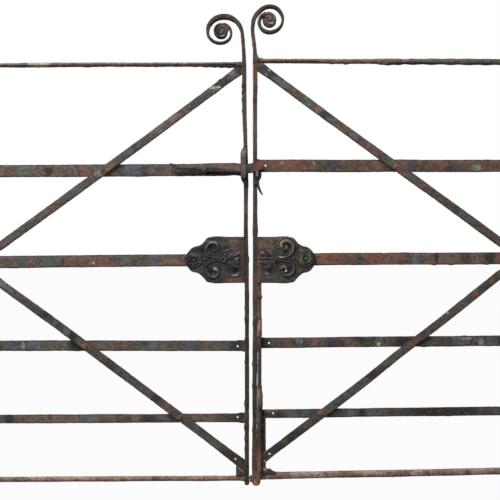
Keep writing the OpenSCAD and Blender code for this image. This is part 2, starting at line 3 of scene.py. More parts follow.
import bpy
import numpy as np
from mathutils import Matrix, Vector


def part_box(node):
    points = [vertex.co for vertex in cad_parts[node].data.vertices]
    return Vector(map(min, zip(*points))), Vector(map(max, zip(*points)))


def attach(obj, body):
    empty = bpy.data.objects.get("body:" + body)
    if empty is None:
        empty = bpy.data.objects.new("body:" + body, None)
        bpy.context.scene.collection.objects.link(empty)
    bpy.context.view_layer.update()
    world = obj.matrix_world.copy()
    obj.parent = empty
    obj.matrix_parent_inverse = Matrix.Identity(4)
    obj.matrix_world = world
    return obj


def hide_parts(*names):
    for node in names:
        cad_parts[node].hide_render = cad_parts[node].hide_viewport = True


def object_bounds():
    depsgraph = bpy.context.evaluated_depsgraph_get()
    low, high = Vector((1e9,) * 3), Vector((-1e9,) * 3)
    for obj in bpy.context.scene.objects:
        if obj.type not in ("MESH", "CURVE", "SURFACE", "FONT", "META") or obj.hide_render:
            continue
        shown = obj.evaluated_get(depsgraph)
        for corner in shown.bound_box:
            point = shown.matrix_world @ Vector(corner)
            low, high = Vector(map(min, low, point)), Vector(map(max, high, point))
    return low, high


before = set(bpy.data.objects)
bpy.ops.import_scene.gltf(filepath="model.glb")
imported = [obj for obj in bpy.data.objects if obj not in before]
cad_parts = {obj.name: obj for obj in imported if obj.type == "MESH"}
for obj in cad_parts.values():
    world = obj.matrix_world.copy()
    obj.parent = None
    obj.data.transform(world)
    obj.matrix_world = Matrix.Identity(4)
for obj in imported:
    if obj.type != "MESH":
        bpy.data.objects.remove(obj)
cad_low, cad_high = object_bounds()

# ------------------------------------------------------------------------------------------------
# Camera, light and ground
# The gates are seen square on from almost three metres in front, in soft light from above, and
# they stand on pale ground in front of a white backdrop.
# ------------------------------------------------------------------------------------------------

scene = bpy.context.scene
scene.view_settings.view_transform = "Standard"


def aim(thing, target):
    """Turns an object so that its -Z axis points at the target and its Y axis stays up."""
    way = np.subtract(target, thing.location[:])
    flat = math.hypot(way[0], way[1])
    thing.rotation_euler = (math.atan2(flat, -way[2]), 0, math.atan2(-way[0], way[1]))


lens = bpy.data.cameras.new("front_camera")
lens.sensor_width = 36
lens.lens = 77.1
camera = bpy.data.objects.new("front_camera", lens)
scene.collection.objects.link(camera)
view_x, view_z = -0.00135, 0.638
camera.location = (view_x, -2.9, view_z)
aim(camera, (view_x, 0, view_z))
scene.camera = camera


def soft_light(name, place, size, power):
    """A square area lamp with that side, aimed at the middle of the gates."""
    lamp = bpy.data.lights.new(name, "AREA")
    lamp.size = size
    lamp.energy = power
    holder = bpy.data.objects.new(name, lamp)
    scene.collection.objects.link(holder)
    holder.location = place
    aim(holder, (0, 0, 0.6))


soft_light("top_light", (-0.9, -1.7, 3.4), 1.4, 100)
soft_light("front_light", (-1.6, -3.4, 1.9), 2, 43)
soft_light("back_light", (1.2, 3.2, 2.8), 2.2, 60)


class Wire:
    """A shader socket that takes part in sums: every operator adds one Math node."""

    def __init__(self, tree, socket=None):
        self.tree = tree
        self.socket = socket

    def node(self, kind, settings, sockets, out=0):
        """Adds a node, sets its settings, then gives its sockets their values or links."""
        made = self.tree.nodes.new(kind)
        for key, value in settings.items():
            setattr(made, key, value)
        for key, value in sockets.items():
            if isinstance(value, Wire):
                self.tree.links.new(value.socket, made.inputs[key])
            else:
                made.inputs[key].default_value = value
        return Wire(self.tree, made.outputs[out])

    def math(self, operation, first, second):
        return self.node("ShaderNodeMath", {"operation": operation}, {0: first, 1: second})

    def __add__(self, other):
        return self.math("ADD", self, other)

    def __sub__(self, other):
        return self.math("SUBTRACT", self, other)

    def __rsub__(self, other):
        return self.math("SUBTRACT", other, self)

    def __mul__(self, other):
        return self.math("MULTIPLY", self, other)

    __radd__ = __add__
    __rmul__ = __mul__


def new_material(name):
    """An empty material, its starting wire and its output node."""
    material = bpy.data.materials.new(name)
    material.use_nodes = True
    material.node_tree.nodes.clear()
    end = material.node_tree.nodes.new("ShaderNodeOutputMaterial")
    return material, Wire(material.node_tree), end


world = bpy.data.worlds.new("white_room")
world.use_nodes = True
world.node_tree.nodes.clear()
scene.world = world
room = Wire(world.node_tree)
ray = room.node("ShaderNodeLightPath", {}, {}, "Is Camera Ray")
sky = room.node("ShaderNodeBackground", {}, {"Color": (1, 1, 1, 1), "Strength": 0.23 + 0.77 * ray})
room.tree.links.new(sky.socket, room.tree.nodes.new("ShaderNodeOutputWorld").inputs[0])

ground_z = cad_low[2] - 0.0005
ground_mesh = bpy.data.meshes.new("ground")
ground_mesh.from_pydata(
    [(x, y, ground_z) for x, y in ((-40, -40), (40, -40), (40, 40), (-40, 40))],
    [], [(0, 1, 2, 3)])
ground = bpy.data.objects.new("ground", ground_mesh)
scene.collection.objects.link(ground)
ground_material, start, end = new_material("pale_ground")
ray = start.node("ShaderNodeLightPath", {}, {}, "Is Camera Ray")
plain = start.node("ShaderNodeBsdfDiffuse", {}, {"Color": (0.16, 0.16, 0.16, 1)})
bright = start.node("ShaderNodeEmission", {}, {"Color": (1, 1, 1, 1), "Strength": 1})
lit = start.node("ShaderNodeMixShader", {}, {0: 0.965 * ray, 1: plain, 2: bright})
start.tree.links.new(lit.socket, end.inputs[0])
ground_mesh.materials.append(ground_material)

# ------------------------------------------------------------------------------------------------
# Meeting stiles
# Each stile is one flat bar set on edge, hammered straight, bent over at the head and rolled up
# cold into a scroll with a solid eye. The paint has flaked off and left brown scale.
# ------------------------------------------------------------------------------------------------


def noise(points, size, seed):
    """Smooth noise from -1 to 1: random values on a cubic lattice with that spacing, blended
    between the eight corners around each point."""
    cell = np.asarray(points, float) / size
    base = np.floor(cell).astype(np.int64)
    part = cell - base
    part = part * part * (3 - 2 * part)
    total = np.zeros(cell.shape[:-1])
    for corner in range(8):
        step = np.array([corner & 1, corner >> 1 & 1, corner >> 2])
        mixed = ((base + step) * [73856093, 19349663, 83492791]).sum(-1) + seed * 668265263
        mixed = (mixed ^ (mixed >> 15)) * 2246822519 & 0xFFFFFFFF
        mixed = (mixed ^ (mixed >> 13)) * 3266489917 & 0xFFFFFFFF
        value = ((mixed ^ (mixed >> 16)) & 0xFFFF) / 32767.5 - 1
        total += value * np.where(step, part, 1 - part).prod(-1)
    return total


def rough(points, size, seed):
    """Three layers of noise, each twice as fine and half as strong as the one before."""
    coarse = noise(points, size, seed)
    return (coarse + 0.5 * noise(points, size / 2, seed + 1)
            + 0.25 * noise(points, size / 4, seed + 2)) / 1.5


def forged_surface(points, seed, amount=1.0):
    """How far hammering, scale and flaked paint move a surface, in mm: long shallow waves, finer
    lumps, and flakes that are missing wherever the noise passes a level."""
    waves = 0.35 * noise(points, 60, seed) + 0.3 * rough(points, 14, seed + 10)
    chips = np.clip(rough(points, 9, seed + 20) - 0.15, 0, 0.35)
    scabs = np.clip(rough(points, 24, seed + 30) - 0.35, 0, 0.4)
    return amount * (waves - 1.3 * chips + 1.1 * scabs)


def swell(points, lumps):
    """How far lumps of scale and weld move a surface, in mm: each lump is its height times a bell
    curve of the distance from its own x and z, over its radius."""
    total = np.zeros(points.shape[:-1])
    for x, z, radius, height in lumps:
        away = (points[..., 0] - x) ** 2 + (points[..., 2] - z) ** 2
        total += height * np.exp(-away / radius ** 2)
    return total


def smooth_line(points, spacing):
    """A curve through the points: a cubic between each two, with its slope at a point taken from
    the neighbours, cut into equal steps. Columns past the third ride along with the first three."""
    points = np.asarray(points, float)
    chord = np.r_[0, np.cumsum(np.linalg.norm(np.diff(points[:, :3], axis=0), axis=1))]
    slope = np.gradient(points, chord, axis=0)
    fine = np.linspace(0, chord[-1], int(chord[-1] / spacing * 3) + 4)
    k = np.clip(np.searchsorted(chord, fine, side="right") - 1, 0, len(chord) - 2)
    gap = (chord[k + 1] - chord[k])[:, None]
    t = (fine - chord[k])[:, None] / gap
    curve = ((1 + 2 * t) * (1 - t) ** 2 * points[k] + t * (1 - t) ** 2 * gap * slope[k]
             + t * t * (3 - 2 * t) * points[k + 1] + t * t * (t - 1) * gap * slope[k + 1])
    run = np.r_[0, np.cumsum(np.linalg.norm(np.diff(curve[:, :3], axis=0), axis=1))]
    even = np.linspace(0, run[-1], max(int(run[-1] / spacing), 3) + 1)
    return np.stack([np.interp(even, run, column) for column in curve.T], axis=1)


def unit(vectors):
    """The vectors with their lengths made 1."""
    return vectors / np.linalg.norm(vectors, axis=-1, keepdims=True)


def bearings(count):
    """Equal bearings all the way round, in radians."""
    return np.linspace(0, 2 * math.pi, count, endpoint=False)


def outline_at(x, z, reach, turn):
    """Points of an outline in x and z, at those bearings and that distance from the centre."""
    return np.stack([x + reach * np.cos(turn), z + reach * np.sin(turn)], axis=-1)


def closed_grid(rings):
    """Faces of a skin over rings of points that close on themselves, with a point at each end:
    four-sided faces between neighbouring rings and three-sided ones at the two ends."""
    rows, around = rings.shape[:2]
    here = np.arange(rows * around).reshape(rows, around)
    beside = np.roll(here, -1, axis=1)
    quads = np.stack([here[:-1], beside[:-1], beside[1:], here[1:]], axis=-1).reshape(-1, 4)
    first = np.full(around, rows * around)
    fans = np.concatenate([
        np.stack([first, beside[0], here[0]], axis=-1),
        np.stack([first + 1, here[-1], beside[-1]], axis=-1)])
    ends = np.stack([rings[0].mean(0), rings[-1].mean(0)])
    return np.concatenate([rings.reshape(-1, 3), ends]), quads, fans


def bar(line, across, half_across, half_thick, corner, seed, amount=1.0, lumps=()):
    """A forged bar: a rounded rectangle carried along the line. Half of its width goes each way
    along across, half of its thickness along the direction square to that and to the line. Both
    ends are rounded over by three shrinking rings. The edge value falls from 1 on the corners of a
    flat bar, and on a round one it is the fourth power of how far the skin faces along across."""
    line = np.asarray(line, float)
    way = unit(np.gradient(line, axis=0))
    wide = np.broadcast_to(across, line.shape)
    thick = unit(np.cross(way, wide))
    half_w = np.broadcast_to(half_across, len(line)) - corner
    half_t = np.broadcast_to(half_thick, len(line)) - corner
    turn = np.radians(np.arange(0, 91, 30))
    side = np.linspace(0, 1, 7)[1:-1]
    spots = []
    for quarter in range(4):
        signs = [(1, 1), (-1, 1), (-1, -1), (1, -1)]
        at, after = np.array(signs[quarter]), np.array(signs[(quarter + 1) % 4])
        angle = turn + quarter * math.pi / 2
        spots += [np.r_[at, math.cos(a), math.sin(a)] for a in angle]
        spots += [np.r_[at + (after - at) * s, math.cos(angle[-1]), math.sin(angle[-1])]
                  for s in side]
    spots = np.array(spots)
    tilt = np.radians([90, 60, 30])
    lead = np.r_[np.sin(tilt), np.zeros(len(line)), np.sin(tilt[::-1])][:, None, None]
    keep = np.r_[np.cos(tilt), np.ones(len(line)), np.cos(tilt[::-1])][:, None, None]
    station = np.r_[[0] * 3, np.arange(len(line)), [len(line) - 1] * 3]
    outward = np.r_[[-1] * 3, np.zeros(len(line)), [1] * 3][:, None, None]
    wide, thick, way = (v[station][:, None, :] for v in (wide, thick, way))
    flat = (wide * (spots[:, 0] * half_w[station][:, None])[..., None]
            + thick * (spots[:, 1] * half_t[station][:, None])[..., None])
    facing = (wide * spots[:, 2, None] + thick * spots[:, 3, None]) * keep + way * outward * lead
    skin = line[station][:, None, :] + flat + facing * corner
    move = forged_surface(skin, seed, amount) + swell(skin, lumps)
    points, quads, fans = closed_grid(skin + facing * move[..., None])
    inset = ((1 - abs(spots[:, 0])) * half_w[station][:, None]
             + (1 - abs(spots[:, 1])) * half_t[station][:, None])
    is_round = corner > 0.75 * np.min(half_thick)
    # weathered() paints shade where the edge value is high: on a round bar its top and bottom, on a
    # flat bar its corners.
    edge = spots[:, 2] ** 4 + 0 * inset if is_round else np.exp(-inset / 2.2)
    edge = np.r_[edge.ravel(), 0, 0]
    return points, quads, fans, edge


def plaque(centre, outline, front, back, relief, seed, rows=60, spokes=200, rim=2.5, amount=1.0,
           mark=None):
    """A plate that faces front and back: rays go out from the centre to the outline, and their
    points follow the relief on the front, round over the rim, and come back across a flat back.
    The relief is a height in mm towards the front, as a function of x and z. The edge value is
    the mark, another such function, or else that height over 6."""
    around = outline - centre
    bearing = np.unwrap(np.arctan2(around[:, 1], around[:, 0]))
    order = np.argsort(bearing % (2 * math.pi))
    ray = bearings(spokes)
    reach = np.interp(ray, (bearing % (2 * math.pi))[order],
                      np.linalg.norm(around, axis=1)[order], period=2 * math.pi)
    spoke = outline_at(0, 0, 1, ray)
    share = np.linspace(0.02, 1, rows)
    face = centre + share[:, None, None] * (reach - rim)[:, None] * spoke
    fall = np.radians([0, 30, 60, 90])
    bend = centre + (reach - rim + np.sin(fall)[:, None] * rim)[..., None] * spoke
    last = centre + np.linspace(1, 0.02, 12)[:, None, None] * (reach - rim)[:, None] * spoke
    height = relief(face[..., 0], face[..., 1])
    lift = height[-1] * np.cos(fall)[:, None]
    sunk = rim * (1 - np.cos(fall))[:, None]
    wall = front + rim + (back - front - 2 * rim) * np.linspace(0, 1, 6)[1:, None]

    def sheet(spots, y):
        return np.stack([spots[..., 0], np.broadcast_to(y, spots.shape[:-1]), spots[..., 1]], -1)

    skin = np.concatenate([
        sheet(face, front - height), sheet(bend, front + sunk - lift)[1:],
        sheet(np.repeat(bend[-1:], 5, axis=0), wall), sheet(bend[::-1], back - sunk[::-1])[1:],
        sheet(last, back)[1:]])
    across = np.gradient(skin, axis=0)
    along = np.roll(skin, -1, axis=1) - np.roll(skin, 1, axis=1)
    normal = np.cross(along, across)
    size = np.linalg.norm(normal, axis=-1, keepdims=True)
    normal = np.where(size > 1e-9, normal / np.maximum(size, 1e-9), 0)
    middle = skin.reshape(-1, 3).mean(0)
    if (normal * (skin - middle)).sum() < 0:
        normal = -normal
    skin = skin + normal * forged_surface(skin, seed, amount)[..., None]
    points, quads, fans = closed_grid(skin)
    value = mark(face[..., 0], face[..., 1]) if mark else height / 6
    edge = np.r_[value.ravel(), np.zeros(len(points) - height.size)]
    return points, quads, fans, edge


def shade(red, green, blue):
    """A colour as the eye sees it, 0 to 255, in the renderer's linear scale."""
    parts = np.array([red, green, blue]) / 255
    linear = np.where(parts < 0.04045, parts / 12.92, ((parts + 0.055) / 1.055) ** 2.4)
    return (*linear.tolist(), 1)


def paint_patches(points, patches, seed):
    """Colour and strength of the patches on the front of a piece, in four columns: stains, and a
    few painted highlights and painted shade. A patch is an ellipse in x and z whose edge noise
    pushes in and out, and each lies over those before it."""
    stain_and_light = np.zeros((len(points), 4))
    front = np.clip((6 - points[:, 1]) / 6, 0, 1)
    wobble = 0.5 * rough(points, 13, seed + 40) + 0.2 * rough(points, 4, seed + 50)
    for x, z, half_x, half_z, colour, strength in patches:
        away = np.hypot((points[:, 0] - x) / half_x, (points[:, 2] - z) / half_z) + wobble
        near = (strength * front * np.clip((1.35 - away) / 0.7, 0, 1))[:, None]
        stain_and_light = stain_and_light * (1 - near) + near * shade(*colour)
    stain_and_light[:, :3] /= np.maximum(stain_and_light[:, 3:], 0.001)
    return stain_and_light


def make_piece(name, parts, patches=(), seed=0):
    """One object from the parts, each given as points in mm, faces and a value for each point,
    which becomes the edge attribute. The patches, stains and a few painted highlights and painted
    shade, become a colour attribute. A part whose faces point inwards is turned round."""
    points, quads, fans, values, count = [], [], [], [], 0
    for spots, four, three, value in parts:
        a, b, c = (spots[four[:, k]] for k in (0, 1, 2))
        e, f, g = (spots[four[:, k]] for k in (0, 2, 3))
        volume = (np.cross(a, b) * c).sum() + (np.cross(e, f) * g).sum()
        if volume < 0:
            four, three = four[:, ::-1], three[:, ::-1]
        points.append(spots)
        quads.append(four + count)
        fans.append(three + count)
        values.append(value)
        count += len(spots)
    points, quads, fans = (np.concatenate(group) for group in (points, quads, fans))
    mesh = bpy.data.meshes.new(name)
    mesh.vertices.add(len(points))
    mesh.vertices.foreach_set("co", (points * 0.001).ravel())
    mesh.loops.add(quads.size + fans.size)
    mesh.loops.foreach_set("vertex_index", np.r_[quads.ravel(), fans.ravel()].astype(np.int32))
    mesh.polygons.add(len(quads) + len(fans))
    starts = np.r_[np.arange(len(quads)) * 4, quads.size + np.arange(len(fans)) * 3]
    mesh.polygons.foreach_set("loop_start", starts.astype(np.int32))
    mesh.polygons.foreach_set("use_smooth", np.ones(len(starts), bool))
    mesh.update(calc_edges=True)
    mesh.validate()
    mesh.attributes.new("edge", "FLOAT", "POINT").data.foreach_set(
        "value", np.concatenate(values).astype(np.float32))
    mesh.attributes.new("stain_and_light", "FLOAT_COLOR", "POINT").data.foreach_set(
        "color", paint_patches(points, patches, seed).astype(np.float32).ravel())
    piece = bpy.data.objects.new(name, mesh)
    scene.collection.objects.link(piece)
    return piece


def weathered(name, paints, rusts, wear, flake=22, specks=0.5, edge_wear=0.2, seed=0,
              grain=0.5, gloss=0.5, coal=0.5, ridge=None):
    """Old paint over rust. Broad noise mixes the paints, fine noise mixes the rusts, and a third
    noise, pushed up at the edges and by wear, bares the rust where it passes a level. The piece's
    own attribute lays on stains and a few painted highlights and painted shade; soot-dark smears,
    painted shade along edges and in eye grooves (partly dark flaked paint) and pale specks lie on
    top. On a casting the edge value is the height, so its hollows get painted shade and its ridges
    are rubbed and get a painted highlight."""
    material, start, end = new_material(name)
    place = start.node("ShaderNodeTexCoord", {}, {}, "Object")
    moved = start.node("ShaderNodeVectorMath", {"operation": "ADD"},
                       {0: place, 1: (seed * 1.7, seed * 0.9, seed * 2.3)})

    def field(size, detail=4, roughness=0.6):
        return start.node("ShaderNodeTexNoise", {}, {
            "Vector": moved, "Scale": 1000 / size, "Detail": detail, "Roughness": roughness})

    def level(value, low, high):
        return start.node("ShaderNodeMapRange", {"interpolation_type": "SMOOTHSTEP"}, {
            "Value": value, "From Min": low, "From Max": high})

    def mix(first, second, amount):
        return start.node("ShaderNodeMix", {"data_type": "RGBA"},
                          {0: amount, 6: first, 7: second}, 2)

    edge = start.node("ShaderNodeAttribute", {"attribute_name": "edge"}, {}, "Fac")
    stain_and_light = start.node("ShaderNodeAttribute", {"attribute_name": "stain_and_light"}, {}, "Color")
    stain_and_light_strength = Wire(start.tree, stain_and_light.socket.node.outputs["Alpha"])
    broad = field(90, 3)
    middling = field(flake, 7, 0.68)
    fine = field(8, 5, 0.65)
    grit = field(2.6, 3, 0.6)
    paint = mix(shade(*paints[0]), shade(*paints[1]), level(field(46, 5), 0.4, 0.6))
    paint = mix(paint, shade(*paints[2]), level(field(38, 5) + 0.3 * (fine - 0.5), 0.48, 0.64))
    rust = mix(shade(*rusts[0]), shade(*rusts[1]), level(fine, 0.36, 0.62))
    rust = mix(rust, shade(*rusts[2]), level(grit + 0.6 * (field(16, 4) - 0.5), 0.5, 0.68))
    worn = middling + edge_wear * edge + 0.7 * (broad - 0.5) + 0.5 * (wear - 0.5)
    bare = level(worn, 0.45, 0.55)
    colour = mix(paint, rust, 0.85 * bare)
    # The piece's own patches: stains, and a few painted highlights and painted shade.
    shown = level(stain_and_light_strength + 0.55 * (middling - 0.5) + 0.4 * (fine - 0.5), 0.12, 0.86)
    colour = mix(colour, stain_and_light, 0.85 * shown)
    rim = level(worn, 0.42, 0.46) * (1 - bare)
    for tone, amount in (
            ((28, 25, 24), 0.45 * rim),
            ((32, 30, 29), coal * level(field(30, 6, 0.66), 0.52, 0.64)),
            ((27, 25, 24), 0.5 * level(field(6, 4), 0.55, 0.7)),
            ((20, 19, 18), 0.3 * level(1 - fine, 0.5, 0.72)),
            ((158, 150, 140), 0.25 * level(grit + 0.5 * (fine - 0.5), 0.6, 0.72))):
        colour = mix(colour, shade(*tone), amount)
    if ridge:
        # Painted shade: near black in the casting's hollows, where the cavity mark is below 0.
        colour = mix(colour, shade(14, 15, 14), 0.95 * level(0 - 1 * edge, 0, 0.2))
        # Rubbed paint on the ridges, with a painted highlight, in the ridge colour.
        rubbed_and_sheen = level(edge + 0.6 * (middling - 0.5) + 0.3 * (fine - 0.5), 0.5, 1.05)
        colour = mix(colour, shade(*ridge), 0.6 * rubbed_and_sheen)
    else:
        # Painted shade where the edge value is high: along bar edges and in the grooves of the
        # eyes, partly dark flaked paint.
        edge_shade_and_flaking = edge + 1.1 * (middling - 0.5) + 0.7 * (fine - 0.5)
        colour = mix(colour, shade(26, 23, 21), 0.7 * level(edge_shade_and_flaking, 0.55, 1.0))
    pale = level(field(3.6, 2), 0.66, 0.71) * level(field(40, 2) + 0.2 * edge, 0.48, 0.6)
    colour = mix(colour, shade(205, 197, 184), specks * pale)
    shader = start.tree.nodes.new("ShaderNodeBsdfPrincipled")
    shader.inputs["Metallic"].default_value = 0
    rough_part = (1 - gloss * 0.6) + bare * (gloss * 0.3) + 0.2 * (fine - 0.5)
    height = (0.6 * middling + 0.26 * fine + 0.4 * grain * grit) - 0.2 * bare + 0.14 * rim
    bump = start.node("ShaderNodeBump", {}, {"Strength": 0.9, "Distance": 0.003, "Height": height})
    for key, value in (("Base Color", colour), ("Roughness", rough_part), ("Normal", bump)):
        start.tree.links.new(value.socket, shader.inputs[key])
    start.tree.links.new(shader.outputs[0], end.inputs[0])
    return material


def hang(piece, material, body, slot, *nodes):
    """Gives a piece its material and its body, and hides the CAD nodes that it takes the
    place of. The slot, the material slot that it stands for, is not used."""
    piece.data.materials.append(material)
    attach(piece, body)
    if nodes:
        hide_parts(*nodes)


def span(node):
    """The lowest and highest corners of a CAD node, in mm."""
    low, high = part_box(node)
    return np.array(low[:]) * 1000, np.array(high[:]) * 1000


# A scroll is given from where the bar starts to bend: bearing from the eye in degrees, distance
# of the bar's middle line from the eye, and half of the bar's thickness there.
stile_depth = 14
left_scroll = [
    (-15, 59, 4.9), (0, 55.5, 4.7), (20, 51, 5), (40, 47.4, 5.4), (60, 43.9, 5.9), (80, 40.6, 6.2),
    (100, 38.6, 6.1), (120, 38, 5.9), (145, 37.4, 5.5), (170, 37.3, 4.9), (200, 37.2, 3.7),
    (230, 34.6, 3.1), (260, 31.9, 2.9), (290, 30.4, 2.9), (320, 29.2, 3), (345, 27.2, 3.1),
    (370, 24.4, 3.5), (400, 21.6, 3.7), (430, 20, 3.2)]
right_scroll = [
    (197, 46.2, 5.2), (180, 41.7, 5.2), (165, 38.4, 5.2), (150, 36.1, 5.1), (130, 34.8, 4.8),
    (105, 35.6, 4.2), (80, 36.5, 3.9), (60, 37.3, 3.7), (30, 36.8, 3.6), (0, 36.9, 3.5),
    (-30, 36.2, 3.3), (-60, 34.6, 3.7), (-90, 33.5, 3.9), (-120, 32.4, 4.1), (-140, 30.6, 4.1),
    (-160, 28, 4.2), (-180, 25.8, 4.2), (-205, 22.8, 4), (-235, 20.6, 3.6)]


def scroll_line(eye, scroll):
    """Points of a scroll's middle line and its half thickness, from bearings and distances."""
    bearing, away, half = np.array(scroll, float).T
    x, z = outline_at(*eye, away, np.radians(bearing)).T
    return np.stack([x, 0 * x, z, half], axis=1)


def eye_relief(eye, turn):
    """The face of a rolled-up eye and the painted shade in it: a low dome with a groove that winds
    in twice, the third power of a cosine of the winding phase. The groove gets the darkest painted
    shade."""
    def groove(x, z):
        away = np.hypot(x - eye[0], z - eye[1])
        bearing = turn * np.arctan2(z - eye[1], x - eye[0])
        ridge = 0.5 + 0.5 * np.cos(2 * math.pi * (away / 9.5 + bearing / (2 * math.pi)))
        return ridge ** 3 * np.clip(away / 5, 0, 1)

    def height(x, z):
        away = np.hypot(x - eye[0], z - eye[1])
        return 1.4 * (1 - (away / 24) ** 2) - 2.8 * groove(x, z)
    return height, lambda x, z: 1.25 * groove(x, z)


def eye_outline(eye, radii):
    """A closed outline around the eye: distances at equal bearings, joined by a smooth curve."""
    bearing = np.linspace(0, 2 * math.pi, 181)
    marks = np.linspace(0, 2 * math.pi, len(radii) + 1)
    reach = np.interp(bearing, marks, np.r_[radii, radii[0]])
    reach = np.convolve(np.r_[reach[-8:-1], reach, reach[1:8]], np.ones(15) / 15, "valid")
    return outline_at(*eye, reach, bearing)[:-1]


def knob(x, z, radius, seed):
    """A rounded foot: a disc that faces front, with a domed face and a wide rim."""
    def dome(u, v):
        return 1.4 - 1.4 * ((u - x) ** 2 + (v - z) ** 2) / radius ** 2
    return plaque(np.array([x, z]), outline_at(x, z, radius, bearings(60)), -13, 13, dome, seed,
                  12, 60, 5)


def scrolled_stile(name, line, scroll, eye, turn, radii, seed, lumps, feet, stains_and_light):
    """A stile that runs up its line, given as x, z and half width, and round its scroll, with the
    rolled-up eye and its feet."""
    path = smooth_line(np.concatenate([np.insert(line, 1, 0, axis=1), scroll_line(eye, scroll)]), 2)
    height, groove_shade = eye_relief(eye, turn)
    return make_piece(name, [
        bar(path[:, :3], (0, 1, 0), stile_depth, path[:, 3], 2.6, seed, 1.2, lumps),
        plaque(eye + [0.5, -1.5], eye_outline(eye, np.array(radii)), -14.6, 12, height, seed + 4,
               26, 110, 3.5, 1, groove_shade), *feet], stains_and_light, seed)


left_low, left_high = span("left_scroll")
left_eye = np.array([left_low[0] + 42, left_high[2] - 43.4])
left_line = [
    (-9.8, 8, 6.2), (-9.7, 120, 5.8), (-9.5, 260, 5.6), (-9.6, 420, 5.7), (-9.8, 530, 6),
    (-10.6, 590, 6.2), (-12.1, 650, 6), (-12.4, 760, 5.9), (-12.1, 825, 6.4), (-12.8, 890, 5.8),
    (-13.9, 939, 5.4), (-15.2, 975, 5.6), (-16.6, 1020, 6.2), (-16.9, 1100, 6.2),
    (-17.3, 1150, 5.4), (-18.6, 1180, 4.9)]
left_stile = scrolled_stile(
    "left_scrolled_stile", left_line, left_scroll, left_eye, 1,
    [17, 21, 21, 21, 21.6, 21.6, 21.2, 20.4, 20, 19.6, 19.2, 17], 1, [
    (-24, 1082, 5, 1.6), (-24, 1064, 4, 1.4), (-23, 1046, 4, 1.2), (-22, 1015, 4, 1.3),
    (-14, 482, 6, 1.2), (-15, 452, 7, 1.4), (-14, 390, 9, 1.6), (-15, 335, 4, 1.4),
    (-14, 222, 8, 2.2), (-15, 158, 8, 2.4), (-14, 128, 6, 1.4), (-15, 100, 5, 1.2)],
    [knob(-9.7, 9.6, 7, 11)], [
    (-5, 18, 6, 12, (88, 122, 60), 0.95), (-12, 680, 16, 55, (112, 78, 62), 0.8),
    (-12, 590, 16, 40, (106, 74, 58), 0.8), (-11, 750, 8, 26, (156, 126, 108), 0.7),
    (-14, 990, 9, 70, (124, 118, 110), 0.6), (-9, 410, 9, 60, (74, 63, 55), 0.7),
    (-9, 40, 9, 24, (65, 59, 51), 0.8), (-9, 8, 8, 10, (74, 92, 63), 0.45),
    (-13, 818, 9, 14, (46, 43, 42), 0.9), (-12, 796, 8, 14, (88, 86, 84), 0.7),
    # Round the left eye, the two near-black patches on its left are painted shade in the groove and
    # the pale patch under it is a painted highlight.
    (left_eye[0] - 11, left_eye[1] + 5, 10, 13, (38, 40, 39), 0.9),
    (left_eye[0] - 8, left_eye[1] - 13, 12, 6, (40, 40, 40), 0.9),
    (left_eye[0] + 4, left_eye[1] - 14, 7, 3.4, (170, 166, 158), 0.8),
    (left_eye[0] + 2, left_eye[1] + 2, 7, 7, (130, 96, 76), 0.85)])

